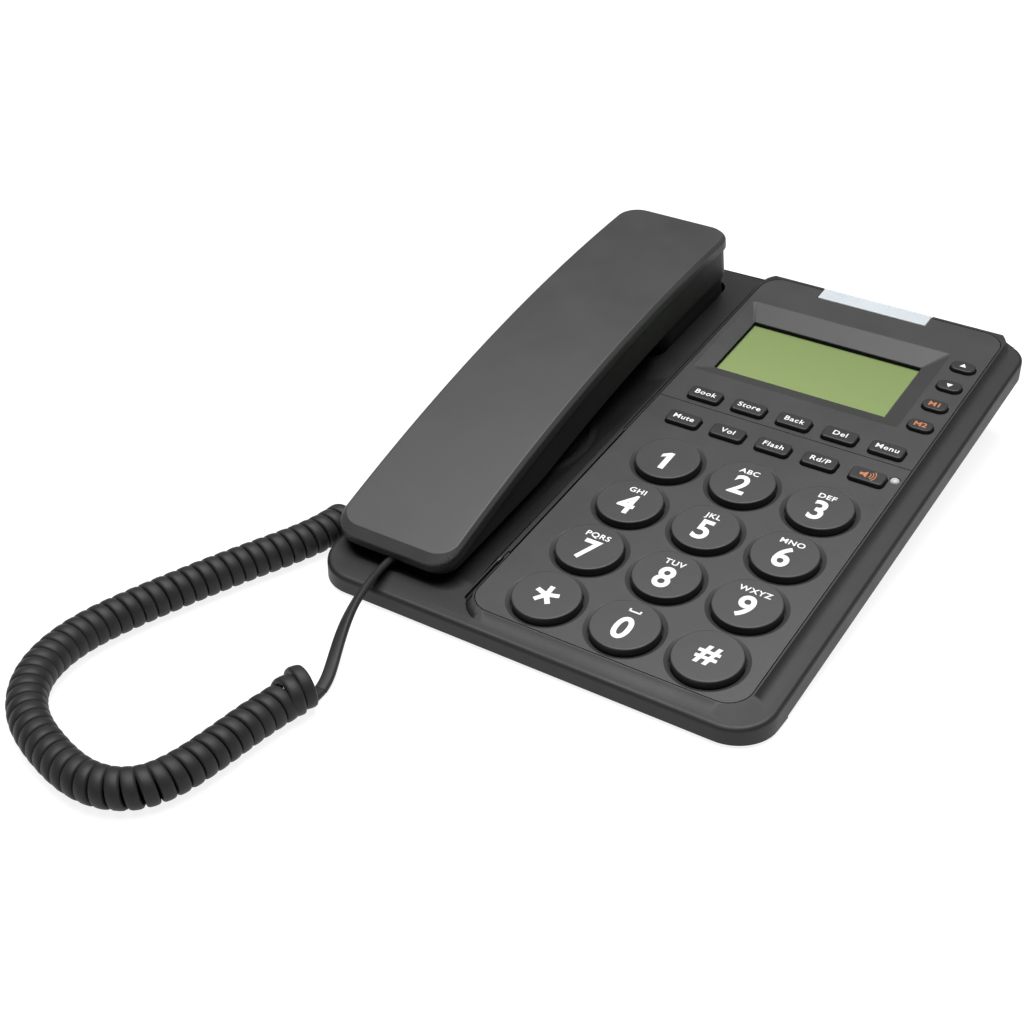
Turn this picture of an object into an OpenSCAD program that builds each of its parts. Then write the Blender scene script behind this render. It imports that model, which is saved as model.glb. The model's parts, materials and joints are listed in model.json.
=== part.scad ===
// Corded desk telephone with a caller display: sloping base, cradle on the left, handset and curly cord.
// Millimetres. Origin on the table under the middle of the base, +Y to the back, +Z up.
// Deck coordinates are x, v and n: v runs back along the sloping deck from its front edge, n out of it.

/* [Base] */
// Width of the base
base_w = 161; // [157:1:173]
// Length of the base along the sloping deck
base_len = 222; // [220:1:232]
// Slope of the deck in degrees
deck_tilt = 6.8; // [6:0.1:8]
// Height of the deck plane above the table at the front edge
front_h = 9.6; // [9.4:0.1:12]
// Radius of the front corners seen from above
front_corner_r = 14; // [10:1:18]
// Radius of the back corners seen from above
back_corner_r = 10; // [6:1:14]
// Wall thickness of the base shells
wall = 2.2; // [1.8:0.1:2.6]
// Thickness of the deck skin
skin = 2; // [1.6:0.1:2.2]
// Height of the underside above the table
foot_h = 0.9; // [0.8:0.1:1.6]
// Thickness of the floor of the lower shell
floor_t = 1.8; // [1.4:0.1:2]
// Drop from the fascia face to the ledge round the base
ledge_drop = 2.7; // [2:0.1:3.2]
// Height of the outside wall of the upper shell
side_wall_h = 7.5; // [6.5:0.1:9]
// Inward lean of the lower shell in degrees
skirt_lean = 23; // [15:1:26]
// Step from the upper shell to the lower shell at the parting line
skirt_step = 0.4; // [0.3:0.1:1]

/* [Fascia] */
// Width of the two fascia plates
panel_w = 95.2; // [95:0.1:97]
// Right edge of the base to the right edge of the fascia
panel_margin_right = 9; // [8:0.1:10]
// Front edge of the base to the front edge of the fascia
panel_margin_front = 6.5; // [6:0.1:6.8]
// Back edge of the base to the back edge of the fascia
panel_margin_back = 1.5; // [1.2:0.1:2.5]
// Corner radius of the fascia
panel_r = 8; // [6:0.5:10]
// Thickness of the fascia
fascia_t = 2.2; // [2:0.1:2.3]
// Gap round the fascia and between its two plates
groove = 0.3; // [0.2:0.05:0.45]
// Front edge of the base to the line between the two plates
divider_v = 132; // [131:0.5:133]
// Flat rim of the raised deck outside the groove
plateau_rim = 0.9; // [0.6:0.1:1.2]
// Run of the slope from the raised deck down to the ledge
plateau_run = 2.4; // [1.6:0.1:2.6]

/* [Number keys] */
// Diameter of a number key
key_d = 22.4; // [20:0.1:22.6]
// Column pitch of the number keys
key_pitch_x = 28; // [26:0.1:28.4]
// Row pitch of the number keys
key_pitch_v = 26.1; // [25.6:0.1:26.2]
// Height of a number key above the fascia
key_rise = 2.1; // [1.8:0.1:4]
// Middle of the number keys to the front edge of the base
keys_v = 59; // [58.8:0.1:60]
// Middle of the number keys to the right of the middle of the fascia
keys_shift = 2.1; // [0:0.1:2.4]
// Gap round a key in its hole
key_gap = 0.35; // [0.25:0.05:0.45]
// Travel of every key
key_travel = 1.2; // [0.8:0.1:1.2]
// Width of the sloping dish round a number key
dish_w = 1.6; // [0.8:0.1:1.7]

/* [Function buttons] */
// Width of a function button
fn_w = 12.3; // [10:0.1:13]
// Depth of a function button
fn_d = 6.5; // [5:0.1:6.8]
// Height of a function button above the fascia
fn_rise = 1.6; // [1.4:0.1:3]
// Pitch of the function buttons
fn_pitch = 17.2; // [16:0.1:17.6]
// Line between the plates to the upper row
fn_row_above = 5.6; // [5.5:0.1:7]
// Line between the plates to the lower row
fn_row_below = 10.7; // [9:0.1:11.5]
// Width of an oval side button
side_w = 9; // [8:0.1:10.2]
// Depth of an oval side button
side_d = 5.7; // [5:0.1:6.6]
// Height of an oval side button above the fascia
side_rise = 1.4; // [1.2:0.1:2.6]
// Pitch of the side buttons
side_pitch = 13.1; // [11:0.1:13.3]
// Right edge of the fascia to the middle of the side buttons
side_in = 6.7; // [6.6:0.1:7.4]

/* [Display] */
// Visible width of the display
lcd_w = 66.5; // [60:0.5:68]
// Visible depth of the display
lcd_d = 33.5; // [28:0.5:34]
// Left edge of the fascia to the visible display
lcd_in = 8; // [7.5:0.1:8.5]
// Back edge of the fascia to the visible display
lcd_back = 29; // [28:0.5:31]
// Depth of the recessed frame of the display
bezel_depth = 1.8; // [1.2:0.1:2]
// Width of the message lamp lens
bar_w = 43.4; // [30:0.1:60]
// Depth of the message lamp lens from the back edge
bar_d = 7; // [5:0.1:8]

/* [Handset] */
// Length of the handset
hs_len = 199; // [194:0.5:201]
// Width of the handset
hs_w = 46.2; // [46:0.1:47]
// Plan corner radius of the handset
hs_r = 9; // [7:0.5:11]
// Rise of the arched top over its ends
hs_arch = 7.2; // [6:0.1:8]
// Height of the upper shell's edge
hs_lip = 5; // [4:0.1:5]
// Thickness of the grip
hs_grip = 19; // [18:0.5:20]
// Wall thickness of the handset
hs_wall = 2; // [1.6:0.1:2.2]

/* [Curly cord] */
// Outside diameter of the curls
coil_d = 12.3; // [11:0.1:12.6]
// Width of the flat cord
cord_w = 4.2; // [3.6:0.1:4.3]
// Thickness of the flat cord
cord_t = 2.4; // [2:0.1:2.6]
// Least gap wanted between two curls
curl_gap = 0.55; // [0.5:0.05:0.8]

/* [Hidden] */
$fn = 64;
big = 420;
tall = 90;
eps = 0.02;

// The base in numbers
base_d = base_len * cos(deck_tilt);
ledge_n = -ledge_drop;
skin_n = ledge_n - skin;
part_n = ledge_n - side_wall_h;
shell_gap = 0.1;
floor_z = foot_h;
floor_top = foot_h + floor_t;
rim_z = floor_z + shell_gap;
front_floor_gap = 0.4;
front_floor_v = 40;
skirt_drop = 50;
tray_v0 = 20;
skirt_over = 0.2;

// The fascia and what stands in it
panel_x1 = base_w / 2 - panel_margin_right;
panel_x0 = panel_x1 - panel_w;
panel_v0 = panel_margin_front;
panel_v1 = base_len - panel_margin_back;
panel_cx = (panel_x0 + panel_x1) / 2;
seat_w = 0.5;
window_back = 19;
keys_x = panel_cx + keys_shift;
flange_gap = 0.15;
flange_t = 0.95;
flange_w = 0.9;
fn_r = 1.6;
dish_t = 0.8;
chamfer = 0.6;
flange_top = -fascia_t - flange_gap;
flange_low = flange_top - flange_t;
mat_top = flange_low - key_travel - 0.1;
mat_pad_t = 0.4;
mat_t = 0.4;
board_top = mat_top - mat_pad_t - mat_t;
board_t = 1;
board_side = 1.2;
board_front = 3.5;
mat_in = 0.4;
mat_r = 2;
side_x = panel_x1 - side_in;
side_r = side_d / 2 - 0.2;
lcd_x = panel_x0 + lcd_in + lcd_w / 2;
lcd_v = panel_v1 - lcd_back - lcd_d / 2;
bezel_left = 5.5;
bezel_right = 7;
bezel_front = 6;
bezel_back = 10.5;
bezel_land = 0.3;
lens_w = lcd_w + 4;
lens_d = lcd_d + 4;
lens_t = 1.2;
lens_gap = 0.2;
cup_t = 4.4;
cup_wall = 1.5;
seat_gap = 0.05;
side_v0 = lcd_v - 1.5 * side_pitch + 0.5;
led_x = panel_x1 - 2.8;
led_v = divider_v - 7.4;
led_r = 1.75;
led_rise = 0.3;
led_gap = 0.15;
led_stem_r = 1.4;
bar_x = panel_cx - 3.2;
bar_low = -7;
bar_rise = 0.2;
bar_gap = 0.2;

// Places of the keys and buttons
number_names = ["1", "2", "3", "4", "5", "6", "7", "8", "9", "star", "0", "hash"];
function number_x(i) = keys_x + (i % 3 - 1) * key_pitch_x;
function number_v(i) = keys_v + (1.5 - floor(i / 3)) * key_pitch_v;
fn_above_names = ["book", "store", "back", "delete", "menu"];
fn_below_names = ["mute", "volume", "flash", "redial", "speaker"];
function fn_x(i) = keys_x + (i - 2) * fn_pitch;
fn_above_v = divider_v + fn_row_above;
fn_below_v = divider_v - fn_row_below;
side_names = ["memory_two", "memory_one", "down", "up"];
function side_v(i) = side_v0 + i * side_pitch;

// Where the handset lies, and its two cups
hs_x = -base_w / 2 + hs_w / 2;
hs_v = base_len / 2 - 0.2;
ear_len = 50;
ear_v1 = hs_v + 100.2;
ear_v0 = ear_v1 - ear_len;
ear_mid = (ear_v0 + ear_v1) / 2 - 0.75;
earpiece_r = ear_len / 2 - 11.25;
earpiece_step = 5.5;
ear_holes_r = 0.42 * earpiece_r;
mouth_len = 42;
mouth_v0 = hs_v - 90.8;
mouth_v1 = mouth_v0 + mouth_len;
mouth_mid = mouth_v1 - 14;

// The cradle
trough_n = -5.2;
trough_wall = 1.8;
trough_v0 = mouth_v0 - 7;
trough_top_run = 3.5;
trough_back_run = 1.5;
trough_side_run = 1.5;
trough_half = hs_w / 2 - 4.8;
trough_right = hs_x + trough_half + 3;
trough_right_top = panel_x0 - plateau_rim - plateau_run - 0.2;
trough_r = 8;
ear_half = hs_w / 2 - 3.2;
ear_clear = 0.7;
ear_n = -10.2;
well_n = ear_n - 0.3;
well_r = 6;
ear_r = well_r - ear_clear;
ear_lean = 1;
well_v0 = ear_v0 - ear_lean - well_r;
well_v1 = ear_v1 + 1.8;
trough_v1 = well_v0 - trough_back_run - 2;
ring_v = hs_v - 15.8;
ring_r = 24.5;
ring_rise = 1.2;
ring_slope = 2.2;
slot_w = 2;
rib_v0 = 33;
rib_v1 = 107;
rib_w = 0.8;
rib_rise = 0.6;
trench_v0 = 10;
trench_v1 = 31;
trench_w = 3;
trench_deep = 1.3;
trench_in = 0.6;

// The handset: middle of the chord of its top edge, in deck coordinates
hs_n = 14.3;
hs_lean = 5.1;
hs_radius = (pow(hs_len / 2, 2) + pow(hs_arch, 2)) / (2 * hs_arch);
hs_seam = 0.15;
hs_low_inset = 1;
hs_rest_n = ledge_n + 0.5;
mouth_half = hs_w / 2 - 5.8;
mouth_n = trough_n + 0.3;
hs_screw_s = [-36, 20];
hs_screw_head_h = -9.3;
hs_boss_h = -7.1;
weight_w = 18;
weight_l = 40;
weight_t = 5;
hs_pad_h = hs_arch - hs_grip + hs_wall / 4;

// Screws
screw_r = 1.25;
pilot_r = 1.3;
hole_r = 1.6;
head_r = 2.7;
head_t = 1.5;
boss_r = 3;
pad_r = 3.7;
pad_top = floor_z + 3.5;
base_screws_at = [[panel_x0 - 3, 45], [panel_x0 - 5.3, base_len - 22], [panel_x1 - 11, base_len - 15]];

// The modular jacks and plugs
jack_w = 9.4;
jack_h = 6.6;
jack_l = 12;
jack_wall = 0.8;
plug_clear = 0.2;
plug_out = 0.9;
jack_gap = 0.15;
hs_jack_v = mouth_v0;
hs_jack_n = -1.3;
base_jack_x = -base_w / 2 + 5;
base_jack_y = 3;
base_jack_z = floor_top + jack_h / 2;
line_jack_x = 40;
line_jack_y = base_d / 2 - 7.308;
line_jack_w = 13;
line_jack_h = 12;
line_jack_l = 14;
line_socket_w = 9.8;
line_socket_h = 7;
line_socket_l = 12;
line_latch_w = 6;
line_latch_h = 1.2;
line_jack_z = floor_top + line_jack_h / 2;

// The hook plunger and its switch
hook_x = hs_x + 13;
hook_v = ear_v1 - 6.5;
hook_w = 6;
hook_d = 4;
hook_clear = 0.3;
hook_touch = 0.1;
hook_flange = 1.5;
hook_flange_n = -16;
switch_t = 6.3;
switch_n = hook_flange_n - 1.2;

// Loudspeaker, microphone, batteries
speaker_r = 20;
speaker_rim = 2;
speaker_n = trough_n - trough_wall - 0.05;
magnet_r = 11;
magnet_t = 4.5;
mic_r = 4.8;
mic_t = 5;
mic_x = 58;
mic_y = -50;
cell_d = 10.5;
cell_l = 44.5;
cell_pitch = 10.8;
cell_clear = 0.2;
contact_t = 0.5;
contact_room = 2;
contact_w = 8;
box_wall = 1.6;
door_t = 1.5;
door_edge = 3;
door_gap = 0.3;
door_slide = 9;
bat_x = 26;
bat_y = 46;
box_l = cell_l + 2 * contact_room;
box_w = 3 * cell_pitch + 0.6;
door_top = floor_z + door_t;
box_low = door_top + shell_gap + 0.05;
box_top = box_low + cell_d + 2 * cell_clear;

// Feet
foot_r = 5;
foot_sink = 0.4;
foot_gap = 0.1;
foot_x = base_w / 2 - 23;
foot_y = base_d / 2 - 22;

// The curly cord: control points of the coil's middle line and of the two straight leads
coil_points = [[-87.5, -76], [-88.5, -94], [-95.5, -111], [-102.5, -128], [-108.5, -145], [-114.5, -163],
    [-118.5, -181], [-115.5, -200], [-103.5, -214], [-86.5, -221], [-67.5, -226], [-51.5, -219], [-47.5, -198],
    [-46.5, -180], [-43.5, -165], [-42.5, -154]];
coil_r = (coil_d - cord_t) / 2;
coil_z = coil_d / 2 + 0.05;
lead_z = coil_z - coil_r;
curl_rings = 8;
curl_hand = 1;
ease_len = 6;
coil_straight = cord_w;
lead_base_points = [[-87.5, -75.5, lead_z], [-87.5, -64, lead_z], [-88.5, -45, lead_z], [-89.5, -22, 1.6],
    [-89.5, -8, 3.6], [-86, 0.8, 5.4], [-81, 3, 6], [-77.1, 3, 6]];
lead_handset_points = [[-42.5, -153.5, lead_z], [-42.5, -148.5, lead_z], [-46.5, -140, 2.8], [-51, -129, 6.4],
    [-53.5, -117, 9.6], [-56.2, -105, 10.2], [-57.4, -97, 9.7], [-57.4, -90.9, 10.5]];
lead_handset_twist = 70;

// Frames
module deck() {
    translate([0, -base_d / 2, front_h]) rotate([deck_tilt, 0, 0]) children();
}

module handset_frame() {
    deck() translate([hs_x, hs_v, hs_n]) rotate([hs_lean, 0, 0]) children();
}

// Flat shapes with true arcs
module rrect(w, d, r) {
    square([w - 2 * r, d], center = true);
    square([w, d - 2 * r], center = true);
    for (x = [-1, 1], y = [-1, 1]) translate([x * (w / 2 - r), y * (d / 2 - r)]) circle(r);
}

module rrect_span(x0, x1, y0, y1, r) {
    translate([(x0 + x1) / 2, (y0 + y1) / 2]) rrect(x1 - x0, y1 - y0, r);
}

module base_outline(inset) {
    w = base_w - 2 * inset;
    d = base_d - 2 * inset;
    rf = front_corner_r - inset;
    rb = back_corner_r - inset;
    translate([-w / 2, -d / 2 + rf]) square([w, d - rf - rb]);
    translate([-w / 2 + rf, -d / 2]) square([w - 2 * rf, rf + 1]);
    translate([-w / 2 + rb, d / 2 - rb - 1]) square([w - 2 * rb, rb + 1]);
    for (x = [-1, 1]) translate([x * (w / 2 - rf), -d / 2 + rf]) circle(rf);
    for (x = [-1, 1]) translate([x * (w / 2 - rb), d / 2 - rb]) circle(rb);
}

// Solids in the deck frame
module deck_slab(n0, n1) {
    deck() translate([-big / 2, -big / 2 + base_len / 2, n0]) cube([big, big, n1 - n0]);
}

module deck_plate(x0, x1, v0, v1, r, n0, n1) {
    deck() translate([0, 0, n0]) linear_extrude(n1 - n0) rrect_span(x0, x1, v0, v1, r);
}

module deck_profile(x0, x1, points) {
    deck() translate([x0, 0, 0]) rotate([90, 0, 90]) linear_extrude(x1 - x0) polygon(points);
}

module base_prism(inset, z0) {
    translate([0, 0, z0]) linear_extrude(tall) base_outline(inset);
}

// Cradle hollows; grow widens them to the skin that carries them
module trough(grow) {
    top_n = ledge_n + 0.2;
    hull() {
        deck_plate(hs_x - trough_half - grow, trough_right + grow, trough_v0 - grow, trough_v1 + grow,
            trough_r + grow, trough_n - grow, trough_n - grow + eps, $fn = 32);
        deck_plate(hs_x - trough_half - trough_side_run - grow, trough_right_top + grow,
            trough_v0 - trough_top_run - grow, trough_v1 + trough_back_run + grow,
            trough_r + grow, top_n, top_n + eps, $fn = 32);
    }
}

module ear_well(grow) {
    half = ear_half + ear_clear + grow;
    deck_plate(hs_x - half, hs_x + half, well_v0 - grow, well_v1 + grow, well_r + grow, well_n - grow, 2);
}

module plateau() {
    intersection() {
        base_prism(0, rim_z);
        hull() {
            deck_plate(panel_x0 - plateau_rim, panel_x1 + plateau_rim, panel_v0 - plateau_rim,
                base_len + plateau_run, panel_r + plateau_rim, -eps, 0, $fn = 32);
            deck_plate(panel_x0 - plateau_rim - plateau_run, panel_x1 + plateau_rim + plateau_run,
                panel_v0 - plateau_rim - plateau_run, base_len + plateau_run,
                panel_r + plateau_rim + plateau_run, skin_n + 0.5, ledge_n, $fn = 32);
        }
    }
}

module fascia_cut() {
    deck_plate(panel_x0 - groove, panel_x1 + groove, panel_v0 - groove, panel_v1 + groove,
        panel_r + groove, -fascia_t, 5);
    deck_plate(panel_x0 + seat_w, panel_x1 - seat_w, panel_v0 + seat_w, panel_v1 - window_back,
        panel_r, -20, 5);
}

module speaker_ring() {
    intersection() {
        trough(eps);
        deck() translate([hs_x, ring_v, trough_n - eps]) rotate_extrude()
            polygon([[0, 0], [ring_r + ring_slope, 0], [ring_r, ring_rise], [0, ring_rise]]);
    }
}

module speaker_slots() {
    deck() translate([hs_x, ring_v, trough_n]) {
        difference() {
            cylinder(r = ring_r - 2, h = 5);
            translate([0, 0, -1]) cylinder(r = ring_r - 2 - slot_w, h = 7);
        }
        for (i = [-2 : 2]) translate([-11 + abs(i), i * 5 - slot_w / 2, -trough_wall - 2])
            cube([22 - 2 * abs(i), slot_w, 8]);
    }
}

module upper_bosses() {
    for (p = base_screws_at) translate([p[0], deck_y(p[1]), pad_top + shell_gap])
        cylinder(r = boss_r, h = deck_z(p[1], skin_n + 1) - pad_top - shell_gap);
}

function deck_y(v, n = 0) = -base_d / 2 + v * cos(deck_tilt) - n * sin(deck_tilt);
function deck_z(v, n = 0) = front_h + v * sin(deck_tilt) + n * cos(deck_tilt);

// Pieces of the base
module base_upper_shell() {
    color("#4a4a4c") difference() {
        union() {
            difference() {
                union() {
                    intersection() {
                        base_prism(0, rim_z);
                        deck_profile(-base_w, base_w, [[-40, -40], [tray_v0, -40], [tray_v0, part_n],
                            [base_len + 40, part_n], [base_len + 40, ledge_n], [-40, ledge_n]]);
                    }
                    plateau();
                }
                difference() {
                    intersection() {
                        base_prism(wall, 0);
                        deck_slab(-tall, skin_n);
                    }
                    trough(trough_wall);
                    ear_well(skin);
                }
                trough(0);
            }
            speaker_ring();
            upper_bosses();
            deck_plate(panel_x0 - groove - rib_w, panel_x0 - groove, rib_v0, rib_v1,
                rib_w / 2 - eps, -1, rib_rise);
        }
        ear_well(0);
        fascia_cut();
        speaker_slots();
        deck_plate(panel_x0 - trench_in - trench_w, panel_x0 - trench_in, trench_v0, trench_v1,
            trench_w / 2 - eps, ledge_n - trench_deep, 5);
        message_lamp_block(bar_gap);
        deck() translate([hook_x, hook_v, -tall / 2]) linear_extrude(tall)
            square([hook_w + 2 * hook_clear, hook_d + 2 * hook_clear], center = true);
        for (p = base_screws_at) translate([p[0], deck_y(p[1]), 0])
            cylinder(r = pilot_r, h = deck_z(p[1], skin_n));
    }
}

// Tray under the parting line, its side and back walls leaning inwards
module skirt_block(inset, over) {
    half = base_w / 2 - skirt_step - inset;
    back = base_len - skirt_step - inset;
    drop = skirt_drop;
    run = drop * tan(skirt_lean);
    flare = over * tan(skirt_lean);
    intersection() {
        base_prism(skirt_step + inset - skirt_over, 0);
        deck() translate([0, back + 20, part_n]) rotate([90, 0, 0]) linear_extrude(back + 60)
            polygon([[-half - flare, over], [half + flare, over], [half - run, -drop], [run - half, -drop]]);
        deck_profile(-base_w, base_w, [[tray_v0 + shell_gap, part_n + over], [back + flare, part_n + over],
            [back - run, part_n - drop], [tray_v0 + shell_gap, part_n - drop]]);
    }
}

module lower_tray(inset, z0, over) {
    intersection() {
        skirt_block(inset, over);
        translate([-big / 2, -big / 2, z0]) cube([big, big, tall]);
    }
}

module base_lower_shell() {
    color("#58585a") difference() {
        union() {
            difference() {
                union() {
                    lower_tray(shell_gap, floor_z, 0);
                    front_floor();
                }
                lower_tray(wall + shell_gap, floor_top, 1);
            }
            for (p = base_screws_at) translate([p[0], deck_y(p[1]), floor_z])
                cylinder(r = pad_r, h = pad_top - floor_z);
            battery_box();
            hook_post();
        }
        for (p = base_screws_at) translate([p[0], deck_y(p[1]), 0]) {
            cylinder(r = hole_r, h = tall);
            translate([0, 0, floor_z - 1]) cylinder(r = head_r + 0.4, h = head_t + 1.1);
        }
        battery_room();
        for (x = [-1, 1], y = [-1, 1]) translate([x * foot_x, y * foot_y, 0])
            cylinder(r = foot_r + foot_gap, h = floor_z + foot_sink);
        translate([mic_x, mic_y, 0]) cylinder(r = 1, h = tall);
        jack_pocket_line();
        jack_pocket_base();
    }
}

// Front part of the floor, inside the wall of the upper shell
module front_floor() {
    intersection() {
        base_prism(wall + front_floor_gap, floor_z);
        translate([-big / 2, -big / 2, 0]) cube([big, big, floor_top]);
        deck_profile(-base_w, base_w, [[-40, -60], [front_floor_v, -60], [front_floor_v, 20], [-40, 20]]);
    }
}

module battery_box() {
    translate([bat_x - box_l / 2 - box_wall, bat_y - box_w / 2 - box_wall, floor_z])
        cube([box_l + 2 * box_wall, box_w + 2 * box_wall, box_top + box_wall - floor_z]);
    translate([bat_x - box_l / 2 - door_edge - 2, bat_y - box_w / 2 - door_edge - 2, floor_z])
        cube([box_l + 2 * door_edge + 4, box_w + 2 * door_edge + door_slide + 4, box_low + 1.2 - floor_z]);
}

module battery_room() {
    translate([bat_x - box_l / 2, bat_y - box_w / 2, floor_z - 1])
        cube([box_l, box_w, box_top - floor_z + 1]);
    translate([bat_x - box_l / 2 - door_edge, bat_y - box_w / 2 - door_edge, floor_z - 1])
        cube([box_l + 2 * door_edge, box_w + 2 * door_edge + door_slide, box_low - floor_z + 1]);
}

module hook_post() {
    intersection() {
        deck() translate([hook_x - 5, hook_v - 4, -tall]) cube([10, 8, tall + switch_n - switch_t]);
        translate([-big / 2, -big / 2, floor_z]) cube([big, big, tall]);
    }
}

module jack_pocket_line() {
    translate([line_jack_x - line_jack_w / 2 - jack_gap, line_jack_y - line_jack_l - jack_gap, floor_top])
        cube([line_jack_w + 2 * jack_gap, 40, line_jack_h + jack_gap]);
}

module jack_pocket_base() {
    translate([base_jack_x - 30, base_jack_y - jack_w / 2 - jack_gap, floor_top])
        cube([jack_l + 30 + jack_gap, jack_w + 2 * jack_gap, jack_h + jack_gap]);
}

module keypad_fascia() {
    color("#5a5a5c") difference() {
        deck_plate(panel_x0, panel_x1, panel_v0, panel_v1, panel_r, -fascia_t, 0);
        deck() translate([-big / 2, divider_v - groove / 2, -5]) cube([big, big, 10]);
        for (i = [0 : 11]) deck() translate([number_x(i), number_v(i), 0]) {
            translate([0, 0, -5]) cylinder(r = key_d / 2 + key_gap, h = 10);
            translate([0, 0, -dish_t])
                cylinder(r1 = key_d / 2 + key_gap, r2 = key_d / 2 + key_gap + dish_w, h = dish_t + eps);
        }
        for (i = [0 : 4]) button_hole(fn_x(i), fn_below_v, fn_w, fn_d, fn_r);
        deck() translate([led_x, led_v, -5]) cylinder(r = led_r + led_gap, h = 10);
    }
}

module button_hole(x, v, w, d, r) {
    deck() translate([x, v, -8]) linear_extrude(16) rrect(w + 2 * key_gap, d + 2 * key_gap, r + key_gap);
}

module display_fascia() {
    color("#5a5a5c") difference() {
        union() {
            deck_plate(panel_x0, panel_x1, panel_v0, panel_v1, panel_r, -fascia_t, 0);
            deck() translate([lcd_x, lcd_v, -cup_t]) linear_extrude(cup_t)
                square([lens_w + 2 * cup_wall, lens_d + 2 * cup_wall], center = true);
        }
        deck() translate([-big / 2, divider_v + groove / 2 - big, -5]) cube([big, big, 10]);
        for (i = [0 : 4]) button_hole(fn_x(i), fn_above_v, fn_w, fn_d, fn_r);
        for (i = [0 : 3]) button_hole(side_x, side_v(i), side_w, side_d, side_r);
        message_lamp_block(bar_gap);
        bezel_funnel();
        deck() translate([lcd_x, lcd_v, -5]) linear_extrude(10) square([lcd_w, lcd_d], center = true);
        deck() translate([lcd_x, lcd_v, -5]) linear_extrude(5 - fascia_t)
            square([lens_w + 2 * lens_gap, lens_d + 2 * lens_gap], center = true);
    }
}

module bezel_funnel() {
    hull() {
        deck_plate(lcd_x - lcd_w / 2 - bezel_land, lcd_x + lcd_w / 2 + bezel_land,
            lcd_v - lcd_d / 2 - bezel_land, lcd_v + lcd_d / 2 + bezel_land,
            2 * bezel_land, -bezel_depth, -bezel_depth + eps, $fn = 32);
        deck_plate(lcd_x - lcd_w / 2 - bezel_left, lcd_x + lcd_w / 2 + bezel_right,
            lcd_v - lcd_d / 2 - bezel_front, lcd_v + lcd_d / 2 + bezel_back, 1.5, 0, 1, $fn = 32);
    }
}

module display_window() {
    color("#a9b8a0", 0.5) deck() translate([lcd_x, lcd_v, -fascia_t - lens_t]) linear_extrude(lens_t)
        square([lens_w, lens_d], center = true);
}

module display_module() {
    low = board_top + seat_gap;
    color("#92a668") deck() translate([lcd_x, lcd_v, low]) linear_extrude(-fascia_t - lens_t - seat_gap - low)
        square([lens_w - 2 * lens_gap, lens_d - 2 * lens_gap], center = true);
}

module message_lamp_block(grow) {
    intersection() {
        base_prism(-grow, 0);
        deck() translate([bar_x, base_len - bar_d - grow, bar_low - grow])
            linear_extrude(bar_rise - bar_low + (grow > 0 ? 5 : 0))
            translate([-bar_w / 2 - grow, 0]) square([bar_w + 2 * grow, bar_d + 20]);
    }
}

module message_lamp_lens() {
    color("#c2ccd4") message_lamp_block(0);
}

module status_lamp() {
    low = board_top + seat_gap;
    shoulder = led_rise - led_r / 3;
    color("#d8d8d8") deck() translate([led_x, led_v, 0]) rotate_extrude()
        polygon([[0, low], [led_stem_r, low], [led_stem_r, -fascia_t], [led_r, -fascia_t], [led_r, shoulder],
            [led_r * 0.6, led_rise], [0, led_rise]]);
}

module main_board() {
    color("#2f6b3c") difference() {
        deck_plate(panel_x0 + board_side, panel_x1 - board_side, panel_v0 + board_front,
            panel_v1 - window_back - 1, 2, board_top - board_t, board_top);
        for (p = base_screws_at) translate([p[0], deck_y(p[1]), 0]) cylinder(r = boss_r + 0.5, h = tall);
    }
}

module key_mat() {
    mat_low = board_top;
    color("#3a3a3a") difference() {
        union() {
            deck_plate(keys_x - 2 * fn_pitch - 6, panel_x1 - board_side - mat_in,
                panel_v0 + board_front + mat_in, fn_above_v + fn_d, mat_r, mat_low, mat_low + mat_t);
            deck_plate(side_x - side_w / 2, panel_x1 - board_side - mat_in, fn_above_v, side_v(3) + 4.5,
                mat_r, mat_low, mat_low + mat_t);
            for (i = [0 : 11]) mat_pad(number_x(i), number_v(i), 5);
            for (i = [0 : 4], v = [fn_above_v, fn_below_v]) mat_pad(fn_x(i), v, 2.5);
            for (i = [0 : 3]) mat_pad(side_x, side_v(i), 2.5);
        }
        deck() translate([led_x, led_v, -tall / 2]) cylinder(r = led_r + 0.3, h = tall);
    }
}

module mat_pad(x, v, r) {
    deck() translate([x, v, board_top + mat_t - eps]) cylinder(r = r, h = mat_pad_t + eps);
}

module hook_plunger() {
    color("#2c2c2e") deck() translate([hook_x, hook_v, 0]) {
        translate([-hook_w / 2, -hook_d / 2, hook_flange_n])
            cube([hook_w, hook_d, ear_n - hook_touch - hook_flange_n]);
        translate([-hook_w / 2 - hook_flange, -hook_d / 2 - hook_flange, hook_flange_n - 1])
            cube([hook_w + 2 * hook_flange, hook_d + 2 * hook_flange, 1]);
    }
}

module hook_switch() {
    color("#1f1f21") deck() translate([hook_x - 5, hook_v - 4, switch_n - switch_t]) cube([10, 8, switch_t]);
}

module loudspeaker() {
    color("#77797c") deck() translate([hs_x, ring_v, speaker_n]) {
        translate([0, 0, -speaker_rim]) cylinder(r = speaker_r, h = speaker_rim);
        translate([0, 0, -speaker_rim - magnet_t]) cylinder(r = magnet_r, h = magnet_t);
    }
}

module handsfree_microphone() {
    color("#8a8c8f") translate([mic_x, mic_y, floor_top]) difference() {
        cylinder(r = mic_r, h = mic_t);
        translate([0, 0, -1]) cylinder(r = 1, h = 2.5);
    }
}

module line_jack() {
    color("#232325") difference() {
        translate([line_jack_x - line_jack_w / 2, line_jack_y - line_jack_l, floor_top])
            cube([line_jack_w, line_jack_l, line_jack_h]);
        translate([line_jack_x - line_socket_w / 2, line_jack_y - line_socket_l,
            line_jack_z - line_socket_h / 2]) cube([line_socket_w, line_socket_l + 1, line_socket_h]);
        translate([line_jack_x - line_latch_w / 2, line_jack_y - line_socket_l, line_jack_z])
            cube([line_latch_w, line_socket_l + 1, line_socket_h / 2 + line_latch_h]);
    }
}

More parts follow.
